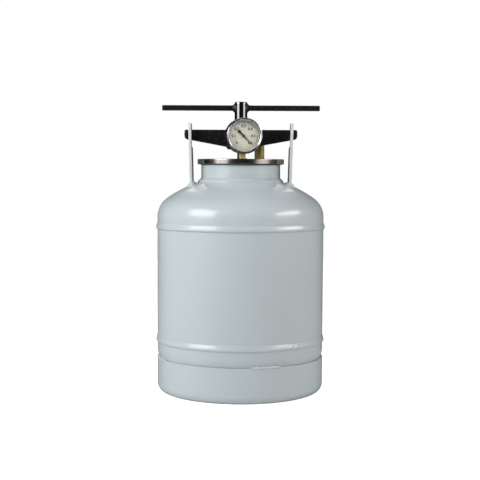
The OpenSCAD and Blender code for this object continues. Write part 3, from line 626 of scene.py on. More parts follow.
def buildNeck():
    # Neck: plain tube with a rounded rim; its weld: a convex bead with a crease where it meets the crown
    section = rectangle(neckRadius - neckSet["wall"], neckRadius, neckLow[2], neckHigh[2])
    tube = roundedLine(section, neckSet["edge"])
    paintedPiece("neckTube", [revolve(tube, neckSet["around"])], "neck")
    out, sink = pick(neckSet, "beadOut", "beadSink")
    foot = crownHeight(neckRadius)
    toe = crownHeight(neckRadius + out)
    bead = roundedLine([(neckRadius - sink, foot + neckSet["beadUp"]), (neckRadius - sink, foot - sink),
                        (neckRadius + out, toe - sink), (neckRadius + out, toe + neckSet["toeUp"]),
                        (neckRadius + neckSet["bellyShare"] * out, foot + neckSet["bellyUp"])],
                       neckSet["beadRadii"])
    ripple = beadRipple(neckSet["ripplePitch"], neckSet["rippleDepth"])
    paintedPiece("neckBead", [revolve(bead, beadSet["around"], ripple)], "neck_weld_ring")


buildNeck()

footSet = {"sheet": 3.5, "roll": 15, "flat": 9, "edge": 0.9, "around": 288, "cornerSteps": 12}
tackSet = {"count": 4, "length": 56, "start": 18.2, "radius": 2.6, "flatten": 1.1, "inset": 1.4, "up": 0.2,
           "wander": 0.25, "lumps": ((0.14, 19, 0), (0.08, 43, 1)), "steps": 120, "sides": 14}
footHigh = nodeBox("foot_ring")[1]


def buildFoot():
    # Foot ring: an L of sheet whose corner is a round roll
    sheet, roll, edge = pick(footSet, "sheet", "roll", "edge")
    outer, top = footHigh[0], footHigh[2]
    inner, flatEnd = outer - sheet, outer - roll - footSet["flat"]
    corners = [(flatEnd, 0), (outer, 0), (outer, top), (inner, top), (inner, sheet), (flatEnd, sheet)]
    line = roundedLine(corners, [edge, roll, edge, edge, roll - sheet, edge], footSet["cornerSteps"])
    paintedPiece("footRingSkin", [revolve(line, footSet["around"])], "foot_ring")


def buildTacks():
    # Tacks: lumpy tubes along the foot ring's top edge, thinner at the ends by sqrt(1 - run to the eighth)
    along = np.linspace(-1, 1, tackSet["steps"])
    size = tackSet["radius"] * np.sqrt(np.clip(1 - along ** 8, 0.02, 1)) * lumpy(along, *tackSet["lumps"])
    half = tackSet["length"] / 2 / footHigh[0]
    radius = footHigh[0] - tackSet["inset"] + tackSet["wander"] * np.sin(along * 11)
    height = np.full(len(along), footHigh[2] + tackSet["up"])
    sheets = []
    for k in range(tackSet["count"]):
        angle = math.radians(tackSet["start"] + k * 360 / tackSet["count"] - 90) + half * along
        path = onCircle(radius, angle, height)
        sheets.append(sweepTube(path, size * tackSet["flatten"], size, tackSet["sides"]))
    paintedPiece("footTacks", sheets, "foot_tack_welds")


buildFoot()
buildTacks()
print("seams, neck and foot built")


# Hooks beside the neck

hookSet = {"span": 176, "thick": 5, "lean": 1.6, "throatFront": -10.5, "throatUnder": 31, "jawReach": 14,
           "jawHeight": 11, "shoulder": 10, "corner": 5, "crook": 2.5, "footCorner": 0.5, "edge": 0.7,
           "sink": 1.2, "footBlend": 20, "cornerSteps": 9}
hookWeldSet = {"radius": 3.0, "lap": 0.35, "up": 0.4, "steps": 220, "sides": 14}


def buildHook(name, node, way):
    # Plate outline in (y, z): foot on the crown's curve, straight front, jaw over a throat that opens to the
    # rear; the plate leans outwards about its foot, way is -1 on the left and 1 on the right
    low, high = nodeBox(node)
    side, half = hookSet["span"] / 2, hookSet["thick"] / 2
    lean = math.radians(hookSet["lean"])
    ground = crownHeight(side)
    tall = ground + (high[2] - ground - half * math.sin(lean)) / math.cos(lean)
    jaw = tall - hookSet["jawHeight"]
    throat = jaw - hookSet["throatUnder"]
    foot = ground - hookSet["sink"]
    front, reach, blend = pick(hookSet, "throatFront", "jawReach", "footBlend")
    corners = [(low[1], foot), (high[1], foot), (high[1], throat), (front, throat), (front, jaw),
               (reach, jaw), (reach, tall), (low[1], tall)]
    kinds = ("footCorner", "footCorner", "shoulder", "crook", "crook", "corner", "corner", "corner")
    outline = roundedLine(corners, pick(hookSet, *kinds), hookSet["cornerSteps"])
    drop = ground - crownHeight(np.hypot(side, outline[:, 0]))
    outline[:, 1] -= drop * np.clip((foot + blend - outline[:, 1]) / blend, 0, 1)

    def leaning(u, v, height):
        # (y, z, thickness) turned about the foot's line by the lean
        x = side + height * math.cos(lean) + (v - ground) * math.sin(lean)
        z = ground + (v - ground) * math.cos(lean) - height * math.sin(lean)
        return np.stack([way * x, u, z], -1)

    plate = plateSheet(outline, -half, half, hookSet["edge"], leaning)
    # The plate takes the paler enamel, which is painted light; its weld keeps the vessel's enamel
    makePiece(name, [plate], hookPaintWithPaintedLight, node)
    # Weld: a lumpy tube round the plate's foot, lying on the crown
    lap = hookWeldSet["radius"] * hookWeldSet["lap"]
    section = rectangle(side - half - lap, side + half + lap, low[1] - lap, high[1] + lap)
    ring = evenSteps(roundedLine(section, half), hookWeldSet["steps"])
    rise = crownHeight(np.hypot(ring[:, 0], ring[:, 1])) + hookWeldSet["up"]
    path = np.concatenate([ring, rise[:, None]], 1) * [way, 1, 1]
    run = ringAngles(hookWeldSet["steps"])
    size = hookWeldSet["radius"] * lumpy(run, (0.10, 29, 0), (0.07, 11, way))
    weld = sweepTube(path, size, size, hookWeldSet["sides"], True)
    addTrim(name + "Weld", [weld], vesselPaint, "vessel")


buildHook("leftHookPlate", "left_hook", -1)
buildHook("rightHookPlate", "right_hook", 1)
print("hooks built")


# Lid with its gasket, screw socket and keepers

lidSet = {"edge": 1.2, "underEdge": 0.5, "broken": 0.3, "socketRadius": 18, "gasketGroove": 5,
          "gasketWidth": 11, "gasketEdge": 1.0, "fit": 0.1, "around": 240, "portRadius": 6.1, "drillPast": 2}
lidLow, lidHigh = nodeBox("lid_plate")
lidTop = lidHigh[2]
gasketLow, gasketHigh = nodeBox("lid_gasket")
gaugeSpot = nodeMiddle("gauge_washer")[:2]
valveSpot = nodeMiddle("valve_washer")[:2]


def buildLid():
    # Lid: thick disc, rounded rim, a groove under it for the gasket, bored for socket, gauge and valve
    fit, broken, around, port, past = pick(lidSet, "fit", "broken", "around", "portRadius", "drillPast")
    under, rim, bore = lidLow[2], lidHigh[0], lidSet["socketRadius"] + fit
    gasketOut, gasketIn = gasketHigh[0], gasketHigh[0] - lidSet["gasketWidth"]
    grooveOut, grooveIn, roof = gasketOut + fit, gasketIn - fit, under + lidSet["gasketGroove"]
    line = roundedLine([(bore, under), (grooveIn, under), (grooveIn, roof), (grooveOut, roof),
                        (grooveOut, under), (rim, under), (rim, lidTop), (bore, lidTop)],
                       [*[broken] * 5, lidSet["underEdge"], lidSet["edge"], broken])
    lid = makePiece("lidDisc", [revolve(line, around)], lidSteel, "lid_plate")
    drill(lid, [roundBar(port, under - past, lidTop + past, spot) for spot in (gaugeSpot, valveSpot)])
    # Gasket: a flat ring with round edges
    section = rectangle(gasketIn, gasketOut, gasketLow[2], gasketHigh[2])
    ring = roundedLine(section, lidSet["gasketEdge"])
    makePiece("gasketRing", [revolve(ring, around)], gasketRubber, "lid_gasket")


buildLid()

socketSet = {"keeperRadius": 14.1, "keeperDeep": 3, "pocketRadius": 8.05, "pocketDeep": 7.1, "edge": 0.3,
             "around": 120}
keeperSet = {"fit": 0.1, "bore": 5.35, "slit": 0.6, "edge": 0.15, "steps": 40}
keeperScrewSet = {"across": 11, "radius": 2.6, "proud": 0.35, "under": 1.2, "slotHalf": 0.35, "slotDeep": 0.6,
                  "slotSoft": 0.04, "rings": 24, "around": 64}
keeperFoot = lidTop - socketSet["keeperDeep"]


def steelPiece(name, sheets, node):
    # A small piece of bare steel
    return makePiece(name, sheets, bareSteel, node)


def buildSocket():
    # Socket: turned cup let into the lid, stepped for the keepers and the screw's collar
    low, high = nodeBox("screw_socket")
    wide, narrow = pick(socketSet, "keeperRadius", "pocketRadius")
    pocket = lidTop - socketSet["pocketDeep"]
    line = roundedLine([(0, low[2]), (high[0], low[2]), (high[0], lidTop), (wide, lidTop),
                        (wide, keeperFoot), (narrow, keeperFoot), (narrow, pocket), (0, pocket)],
                       socketSet["edge"], 5, closed=False)
    steelPiece("socketCup", [revolve(line, socketSet["around"], closed=False)], "screw_socket")


def buildKeepers():
    # Keepers: half rings, an outer arc and an inner arc back, each stopped where half the slit begins
    outer, inner = socketSet["keeperRadius"] - keeperSet["fit"], keeperSet["bore"]
    t = np.linspace(0, 1, keeperSet["steps"])
    stopOut, stopIn = (math.asin(keeperSet["slit"] / 2 / radius) for radius in (outer, inner))
    turnOut = stopOut + t * (np.pi - 2 * stopOut)
    turnIn = np.pi - stopIn - t * (np.pi - 2 * stopIn)
    half = np.concatenate([onCircle(outer, turnOut), onCircle(inner, turnIn)])
    sheets = [plateSheet(half * flip, keeperFoot, lidTop, keeperSet["edge"]) for flip in (1, -1)]
    steelPiece("keeperPlates", sheets, "collar_keepers")


def buildKeeperScrews():
    # Screw heads: low domes, 1 - r to the fourth, whose height drops by slotDeep across a soft-edged slot
    proud, deep, across = pick(keeperScrewSet, "proud", "slotDeep", "across")
    ring = np.linspace(0, 1, keeperScrewSet["rings"])[None]
    angle = ringAngles(keeperScrewSet["around"])[:, None]
    radius = keeperScrewSet["radius"] * ring
    x, y = radius * np.cos(angle), radius * np.sin(angle)
    slot = 1 / (1 + np.exp(-(keeperScrewSet["slotHalf"] - np.abs(x)) / keeperScrewSet["slotSoft"]))
    top = proud * (1 - ring ** 4) - deep * slot * (1 - ring ** 12)
    head = np.stack([x, y, lidTop + top], -1)
    under = np.stack([x, y, np.full_like(x, lidTop - keeperScrewSet["under"])], -1)[:, ::-1]
    screw = gridSheet(np.concatenate([head, under], 1), True, False)
    sheets = [shifted(screw, (0, flip * across, 0)) for flip in (1, -1)]
    steelPiece("keeperScrewHeads", sheets, "keeper_screws")


buildSocket()
buildKeepers()
buildKeeperScrews()
print("lid built")


# Gauge, in its own frame: across to the right, up, and out towards the viewer

gaugeSet = {"yaw": 12, "fit": 0.1, "around": 160}
caseSet = {"radius": 30.8, "back": -9, "rim": 15.2, "sheet": 1.2, "radii": [0.1, 3.2, 0.4, 0.4, 2.0, 0.1]}
bezelSet = {"radius": 31.5, "back": 13.7, "front": 21, "opening": 27.0, "sideDown": 0.4, "crestIn": 2.2,
            "crestUp": 0.25, "lipOut": 0.9, "lipDown": 1.0, "radii": [0.2, 0.4, 1.6, 1.6, 0.7, 0.15, 0.1]}
windowSet = {"back": 15.3, "front": 17.3, "edge": 0.3}
dialSet = {"radius": 28.4, "hole": 2.4, "back": 7, "front": 7.8, "edge": 0.15}
yaw = math.radians(gaugeSet["yaw"])
gaugeOut = np.array([math.sin(yaw), -math.cos(yaw), 0])
gaugeAcross = np.array([math.cos(yaw), math.sin(yaw), 0])
gaugeAxes = np.stack([gaugeAcross, upward, gaugeOut])
gaugeMiddle = gaugeCentre / toMetres - (dialSet["back"] + dialSet["front"]) / 2 * gaugeOut


def onGauge(sheet):
    # Points (across, up, out) of the gauge's own frame carried to their place
    points, faces = sheet
    return points @ gaugeAxes + gaugeMiddle, faces


def gaugeTurned(name, line, closed, material, node):
    # A profile (r, out) turned about the gauge's axis
    sheet = onGauge(revolve(line, gaugeSet["around"], closed=closed))
    makePiece(name, [sheet], material, node)


def buildCase():
    # Case: pressed cup with a rounded back edge
    outer, back, rim, sheet = pick(caseSet, "radius", "back", "rim", "sheet")
    inner, floor = outer - sheet, back + sheet
    line = roundedLine([(0, back), (outer, back), (outer, rim), (inner, rim), (inner, floor), (0, floor)],
                       caseSet["radii"], 9, closed=False)
    gaugeTurned("caseCup", line, False, blackPaint, "gauge_case")


def buildBezel():
    # Bezel: polished ring, rounded in front, with a slope down to the window
    outer, back, front, opening = pick(bezelSet, "radius", "back", "front", "opening")
    inner, pane = caseSet["radius"] + gaugeSet["fit"], windowSet["front"] + gaugeSet["fit"]
    line = roundedLine([(inner, back), (outer, back), (outer, front - bezelSet["sideDown"]),
                        (outer - bezelSet["crestIn"], front + bezelSet["crestUp"]),
                        (opening + bezelSet["lipOut"], front - bezelSet["lipDown"]), (opening, pane),
                        (inner, pane)], bezelSet["radii"], 9)
    gaugeTurned("bezelRing", line, True, bezelSteel, "gauge_bezel")


def buildWindowAndDial():
    # Window and dial: flat discs, the dial with a hole for the pointer's arbor
    section = rectangle(0, caseSet["radius"] - gaugeSet["fit"], windowSet["back"], windowSet["front"])
    pane = roundedLine(section, windowSet["edge"], 4, closed=False)
    gaugeTurned("windowPane", pane, False, windowGlass, "gauge_window")
    plate = roundedLine(rectangle(*pick(dialSet, "hole", "radius", "back", "front")), dialSet["edge"], 4)
    gaugeTurned("dialPlate", plate, True, dialPaint, "gauge_dial")


buildCase()
buildBezel()
buildWindowAndDial()

scaleSet = {"start": 225, "sweep": 270, "units": 6, "perUnit": 10, "outer": 25.6, "majorInner": 21.4,
            "minorInner": 23.8, "majorHalf": 0.32, "minorHalf": 0.14, "ink": 0.04, "sink": 0.02,
            "arcHalf": 0.12, "arcSteps": 200, "numberRadius": 17.2, "numberSize": 6.6, "numberBold": 0.2,
            "numberUnit": 0.1}


def scaleTurns(count):
    # Even turns over the sweep, in radians, clockwise from the start
    return np.radians(scaleSet["start"] - scaleSet["sweep"] * np.arange(count) / (count - 1))


def scaleTicks():
    # Ticks: flat bars along the radius at even turns of the sweep, the unit ticks longer and wider
    count = scaleSet["units"] * scaleSet["perUnit"] + 1
    major = np.arange(count) % scaleSet["perUnit"] == 0
    angle = scaleTurns(count)[:, None]
    inner = np.where(major, scaleSet["majorInner"], scaleSet["minorInner"])
    outer = np.full(count, scaleSet["outer"])
    half = np.where(major, scaleSet["majorHalf"], scaleSet["minorHalf"])
    reach = np.stack([inner, outer, outer, inner], -1)
    side = half[:, None] * np.array([-1, -1, 1, 1])
    x = reach * np.cos(angle) - side * np.sin(angle)
    y = reach * np.sin(angle) + side * np.cos(angle)
    low = np.stack([x, y, np.full_like(x, dialSet["front"] - scaleSet["sink"])], -1)
    high = low + [0, 0, scaleSet["sink"] + scaleSet["ink"]]
    box = np.array([(0, 1, 2, 3), (4, 5, 6, 7), (0, 1, 5, 4), (1, 2, 6, 5), (2, 3, 7, 6), (3, 0, 4, 7)])
    faces = (np.arange(count)[:, None, None] * 8 + box).reshape(-1, 4).tolist()
    return np.concatenate([low, high], 1).reshape(-1, 3), faces


def scaleArc():
    # Thin printed arc at the ticks' outer ends, over the whole sweep
    angle = scaleTurns(scaleSet["arcSteps"])
    path = onCircle(scaleSet["outer"], angle, np.full_like(angle, dialSet["front"]))
    return sweepTube(path, scaleSet["arcHalf"], scaleSet["ink"], 8)


def numberSheet(word, spot):
    # A plain number as a thin solid, centred on a spot of the dial
    curve = bpy.data.curves.new("number", "FONT")
    curve.body = word
    curve.size = scaleSet["numberSize"]
    curve.align_x = "CENTER"
    curve.align_y = "CENTER"
    curve.extrude = scaleSet["ink"]
    curve.offset = scaleSet["numberBold"]
    holder = bpy.data.objects.new("number", curve)
    scene.collection.objects.link(holder)
    mesh = meshOf(holder)
    points = np.zeros(len(mesh.vertices) * 3)
    mesh.vertices.foreach_get("co", points)
    faces = [list(face.vertices) for face in mesh.polygons]
    bpy.data.objects.remove(holder)
    return points.reshape(-1, 3) + np.array([*spot, dialSet["front"]]), faces


def buildScale():
    # Ticks and arc, and a number at each unit, at start - sweep x step / units degrees
    steps = np.arange(scaleSet["units"] + 1)
    angle = scaleTurns(len(steps))
    spots = onCircle(scaleSet["numberRadius"], angle)
    words = ["%g" % (step * scaleSet["numberUnit"]) for step in steps]
    numbers = [onGauge(numberSheet(word, spot)) for word, spot in zip(words, spots)]
    addTrim("dialMarks", [onGauge(scaleTicks()), onGauge(scaleArc())], dialInk, "lid")
    addTrim("dialNumbers", numbers, dialInk, "lid")


buildScale()

pointerSet = {"angle": -45, "length": 19, "tail": 11, "weight": 2.6, "weightProud": 0.05, "tailHalf": 1.7,
              "hubHalf": 1.3, "tipHalf": 0.35, "back": 9.5, "front": 10.3, "edge": 0.08, "hubRadius": 2.4,
              "hubBore": 0.9, "hubFront": 11.3, "hubRadii": [0.1, 0.1, 0.7, 0.1], "around": 48, "points": 90}


def buildPointer():
    # Pointer: flat blade, widest at its tail, with a round weight there and a domed hub
    tail, back, front, edge, around = pick(pointerSet, "tail", "back", "front", "edge", "around")
    half = np.array([(-tail, pointerSet["tailHalf"]), (0, pointerSet["hubHalf"]),
                     (pointerSet["length"], pointerSet["tipHalf"])], float)
    blade = evenSteps(np.concatenate([half * [1, -1], half[::-1]]), pointerSet["points"])
    heading = math.radians(pointerSet["angle"])
    along = np.array([math.cos(heading), math.sin(heading)])
    blade = blade @ np.array([along, [-along[1], along[0]]])
    weight = onCircle(pointerSet["weight"], ringAngles(around)) - tail * along
    sheets = [plateSheet(line, back, front + proud, edge, steps=3)
              for line, proud in ((blade, 0), (weight, pointerSet["weightProud"]))]
    bore, radius, top = pick(pointerSet, "hubBore", "hubRadius", "hubFront")
    hub = roundedLine([(bore, back), (radius, back), (radius, top), (0, top)], pointerSet["hubRadii"], 6,
                      closed=False)
    sheets.append(revolve(hub, around, closed=False))
    makePiece("pointerBlade", [onGauge(sheet) for sheet in sheets], dialInk, "gauge_pointer")


buildPointer()

stemSet = {"width": 10.5, "corner": 1.4, "edge": 0.7, "shank": 6, "lap": 0.5, "caseLap": 0.6}
washerSet = {"thick": 1, "bore": 6.1, "edge": 0.3, "around": 72}
washerTop = lidTop + washerSet["thick"]


def buildStem():
    # Stem: square brass block with broken corners on a round shank through the lid
    half = stemSet["width"] / 2
    square = roundedLine(rectangle(-half, half, -half, half), stemSet["corner"], 5)
    square = square @ np.array([gaugeAcross[:2], gaugeOut[:2]]) + gaugeMiddle[:2]
    head = gaugeMiddle[2] - caseSet["radius"] + stemSet["caseLap"]
    low = nodeBox("gauge_socket")[0][2]
    sheets = [plateSheet(square, washerTop, head, stemSet["edge"]),
              roundBar(stemSet["shank"], low, washerTop + stemSet["lap"], gaugeSpot)]
    makePiece("stemBlock", sheets, stemBrass, "gauge_socket")


def buildWasher(name, node, spot):
    # Washer: a flat ring with rounded edges
    low, high = nodeBox(node)
    section = rectangle(washerSet["bore"], (high - low)[0] / 2, lidTop, washerTop)
    ring = roundedLine(section, washerSet["edge"], 4)
    sheet = shifted(revolve(ring, washerSet["around"]), (*spot, 0))
    makePiece(name, [sheet], washerCopper, node)


buildStem()
buildWasher("gaugeWasher", "gauge_washer", gaugeSpot)
buildWasher("valveWasher", "valve_washer", valveSpot)
print("gauge built")


# Relief valve behind the yoke; heights are over the lid

valveSet = {"foot": -9, "shoulder": 1, "shank": 6, "inlet": 2.5, "seat": 8, "chamber": 6.2, "radius": 9,
            "height": 27, "grooveUp": 20.5, "grooveHigh": 2, "grooveSlope": 0.5, "grooveDeep": 0.7,
            "radii": [0.3, 0.5, 0.2, 0.8, 0.2, 0.2, 0.2, 0.2, 0.8, 0.3, 0.3, 0.3], "around": 128,
            "vent": 1.2, "ventUp": 17, "ventPast": 2, "ventSides": 24}
capSet = {"radius": 8, "foot": 27.1, "head": 38.1, "footIn": 0.9, "footBevel": 0.7, "headIn": 1.5,
          "headBevel": 1.1, "edge": 0.25, "around": 192}
poppetSet = {"radius": 5.8, "foot": 8.2, "top": 11.2, "stem": 1.5, "fit": 0.1, "tipInset": 1.2, "edge": 0.2,
             "around": 64}
knobSet = {"radius": 4, "foot": 42.1, "head": 47.1, "radii": [0.1, 0.7, 0.9, 0.1], "knurls": 28,
           "knurlDeep": 0.22, "knurlIn": 0.3, "plainFoot": 0.7, "plainHead": 0.8, "around": 224}
valvePlace = (*valveSpot, lidTop)
stemBore = poppetSet["stem"] + poppetSet["fit"]


def valveTurned(name, line, around, node, swell=None, closed=True):
    # A brass profile (r, z) turned about the valve's axis
    sheet = shifted(revolve(line, around, swell, closed), valvePlace)
    return makePiece(name, [sheet], valveBrass, node)


def buildValveBody():
    # Body: turned cup on a round shank, with a groove, and drilled along both diagonals for four vents
    foot, shoulder, seat, height = pick(valveSet, "foot", "shoulder", "seat", "height")
    inlet, shank, radius, chamber = pick(valveSet, "inlet", "shank", "radius", "chamber")
    neck, slope = radius - valveSet["grooveDeep"], valveSet["grooveSlope"]
    low, high = valveSet["grooveUp"], valveSet["grooveUp"] + valveSet["grooveHigh"]
    line = roundedLine([(inlet, foot), (shank, foot), (shank, shoulder), (radius, shoulder), (radius, low),
                        (neck, low + slope), (neck, high - slope), (radius, high), (radius, height),
                        (chamber, height), (chamber, seat), (inlet, seat)], valveSet["radii"], 5)
    body = valveTurned("valveBarrel", line, valveSet["around"], "valve_body")
    vent, up, sides = pick(valveSet, "vent", "ventUp", "ventSides")
    reach = np.array([-1, 1]) * (radius + valveSet["ventPast"])
    vents = []
    for turn in (math.pi / 4, 3 * math.pi / 4):
        path = onCircle(reach, turn, np.full(2, up)) + np.array(valvePlace)
        vents.append(sweepTube(path, vent, vent, sides))
    drill(body, vents)


def hexSwell(flat):
    # Turns a circle of the corner radius into a hexagon: r = flat / cos(a folded into one side)
    def swell(angle, radius, height):
        fold = (angle + np.pi / 6) % (np.pi / 3) - np.pi / 6
        return np.minimum(flat / np.cos(fold), radius) - radius
    return swell


def buildCap():
    # Cap: hexagon whose corners are turned off by a cone at both ends
    radius, foot, head = pick(capSet, "radius", "foot", "head")
    line = roundedLine([(stemBore, foot), (radius - capSet["footIn"], foot),
                        (radius, foot + capSet["footBevel"]), (radius, head - capSet["headBevel"]),
                        (radius - capSet["headIn"], head), (stemBore, head)], capSet["edge"], 4)
    valveTurned("valveHexCap", line, capSet["around"], "valve_cap", hexSwell(radius * math.cos(math.pi / 6)))


def buildPoppet():
    # Poppet: disc on a thin stem through the cap
    radius, foot, top, stem = pick(poppetSet, "radius", "foot", "top", "stem")
    tip = knobSet["head"] - poppetSet["tipInset"]
    line = roundedLine([(0, foot), (radius, foot), (radius, top), (stem, top), (stem, tip), (0, tip)],
                       poppetSet["edge"], 4, closed=False)
    valveTurned("poppetStem", line, poppetSet["around"], "valve_poppet", closed=False)


def knurl(angle, radius, height):
    # Draws r in by |cos(half the knurls x angle)| on the knob's side, between its bevels
    low, high = knobSet["foot"] + knobSet["plainFoot"], knobSet["head"] - knobSet["plainHead"]
    onSide = (height > low) & (height < high) & (radius > knobSet["radius"] - knobSet["knurlIn"])
    return -knobSet["knurlDeep"] * onSide * np.abs(np.cos(knobSet["knurls"] / 2 * angle))


def buildKnob():
    # Knob: small knurled button
    radius, foot, head = pick(knobSet, "radius", "foot", "head")
    line = roundedLine([(stemBore, foot), (radius, foot), (radius, head), (0, head)], knobSet["radii"], 6,
                       closed=False)
    valveTurned("knurledKnob", line, knobSet["around"], "valve_knob", knurl, False)


buildValveBody()
buildCap()
buildPoppet()
buildKnob()

springSet = {"wire": 0.5, "turns": 7, "levelTurns": 0.75, "perTurn": 40, "sides": 12}


def buildSpring():
    # Coil from poppet to cap: it climbs evenly with the turns, apart from a level stretch at each end
    low, high = nodeBox("valve_spring")
    wire, turns, level = pick(springSet, "wire", "turns", "levelTurns")
    turn = np.linspace(0, turns, turns * springSet["perTurn"] + 1)
    climb = np.clip((turn - level) / (turns - 2 * level), 0, 1)
    radius = (high[0] - low[0]) / 2 - wire
    height = low[2] + wire + (high[2] - low[2] - 2 * wire) * climb
    path = onCircle(radius, fullTurn * turn, height) + [*valveSpot, 0]
    spring = joinSheets("springCoil", [sweepTube(path, wire, wire, springSet["sides"])], springSteel)
    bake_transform(spring)
    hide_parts("valve_spring")


buildSpring()
print("valve built")


# Yoke across the hooks

yokeSet = {"hubRadius": 23, "hubStep": 1, "hubFrom": 23.4, "hubTo": 27, "bore": 10.1, "boreBevel": 1.0,
           "armHalf": 10.0, "tipHeight": 17.5, "rootHeight": 31, "tipUnder": 6, "tipOver": 3, "edge": 2.2,
           "edgeSteps": 6, "planPower": 26, "joinPower": 16, "planSteps": 4001, "tipCrowding": 0.08,
           "outlinePoints": 420, "topRings": (18, 21, *np.linspace(22.5, 28, 10), 34), "ringGap": 0.02}
yokeLow, yokeHigh = nodeBox("yoke")
yokeTop = yokeHigh[2] - yokeSet["hubStep"]


def yokeHub(distance):
    # 1 on the hub, 0 on the arms, with a smooth step between hubFrom and hubTo
    t = np.clip((yokeSet["hubTo"] - distance) / (yokeSet["hubTo"] - yokeSet["hubFrom"]), 0, 1)
    return t * t * (3 - 2 * t)


def tipRound(x, radius):
    # How far a quarter circle of this radius has turned away from the level near a tip
    past = np.clip(np.abs(x) - (yokeHigh[0] - radius), 0, radius)
    return radius - np.sqrt(radius ** 2 - past ** 2)


def yokeOver(x, y):
    # Top of the yoke: level, a step up on the hub, rounded down by a circle at the tips
    return yokeTop - tipRound(x, yokeSet["tipOver"]) + yokeSet["hubStep"] * yokeHub(np.hypot(x, y))


def yokeUnder(x, y):
    # Underside: a straight taper from hub to tip, rounded up at the tips, and the hub's level end
    root, under, deep = pick(yokeSet, "hubRadius", "tipUnder", "rootHeight")
    run = np.clip((np.abs(x) - root) / (yokeHigh[0] - under - root), 0, 1)
    arm = yokeTop - deep + run * (deep - yokeSet["tipHeight"]) + tipRound(x, under)
    hub = yokeHub(np.hypot(x, y))
    return arm * (1 - hub) + yokeLow[2] * hub


def yokeOutline():
    # Plan: distance from the axis at each angle is the soft maximum of a square-ended bar and the hub's ring
    even = np.linspace(-np.pi / 2, np.pi / 2, yokeSet["planSteps"])[:-1]
    angle = np.arctan(np.tan(even) * yokeSet["tipCrowding"])      # more angles towards the tips
    angle = np.concatenate([angle, angle + np.pi])
    power, join, hub = pick(yokeSet, "planPower", "joinPower", "hubRadius")
    along, across = np.abs(np.cos(angle) / yokeHigh[0]), np.abs(np.sin(angle) / yokeSet["armHalf"])
    bar = (along ** power + across ** power) ** (-1 / power)
    reach = hub * ((bar / hub) ** join + 1) ** (1 / join)
    reach = np.minimum(reach, np.maximum(bar, hub))
    return evenSteps(onCircle(reach, angle), yokeSet["outlinePoints"])


def buildYoke():
    # Rings run from the bore out over the top, round the outline's edge, down its side and back underneath
    bore, bevel, edge = pick(yokeSet, "bore", "boreBevel", "edge")
    outline = yokeOutline()
    inward = -outwardSide(outline)
    shoulder = outline + inward * edge
    reach = np.linalg.norm(shoulder, axis=1)
    stops = np.array([bore, bore + bevel, *yokeSet["topRings"]])
    distance = np.minimum(stops[:, None], reach[None] - yokeSet["ringGap"])
    plan = distance[..., None] * (shoulder / reach[:, None])[None]
    t = np.linspace(0, np.pi / 2, yokeSet["edgeSteps"])
    drawn = outline[None] + inward[None] * (edge * (1 - np.sin(t)))[:, None, None]
    drop = np.broadcast_to((edge * (1 - np.cos(t)))[:, None], drawn.shape[:2])
    x, y = np.moveaxis(np.concatenate([plan, drawn]), -1, 0)
    fall = np.concatenate([np.zeros(plan.shape[:2]), drop])
    fall[0] += bevel
    over = np.stack([x, y, yokeOver(x, y) - fall], -1)
    under = np.stack([x, y, yokeUnder(x, y) + fall], -1)[::-1]
    makePiece("yokeBeam", [gridSheet(np.concatenate([over, under]))], blackPaint, "yoke")


buildYoke()
print("yoke built")


# Clamp screw with its T-bar

screwSet = {"radius": 10, "pitch": 2.5, "threadDeep": 1.2, "threadFade": 2, "threadStep": 0.25,
            "threadStop": 0.8, "threadGap": 0.2, "headUp": 6, "headRadius": 11.5, "headEdge": 2.5,
            "headRoot": (0.1, 0.2), "tipRadius": 6.5, "tipBevel": 0.4, "collarNeck": 5.3, "collarRadius": 8,
            "keeperDeep": 3.05, "edge": 0.3, "fit": 0.1, "around": 96, "bore": 5.1, "boreReach": 20,
            "boreSides": 64}
barSet = {"endRadii": [0.1, 1.6, 1.6, 0.1], "around": 64}
screwLow, screwHigh = nodeBox("clamp_screw")
barLow, barHigh = nodeBox("tommy_bar")
barHeight = (barLow[2] + barHigh[2]) / 2
barRadius = (barHigh[2] - barLow[2]) / 2


def screwRings(radius, height):
    # Radii and heights, one per ring or one per point, carried round the screw's axis
    angle = ringAngles(screwSet["around"])[:, None]
    radius, height = np.broadcast_arrays(radius + 0 * angle, height)
    return onCircle(radius, angle, height)


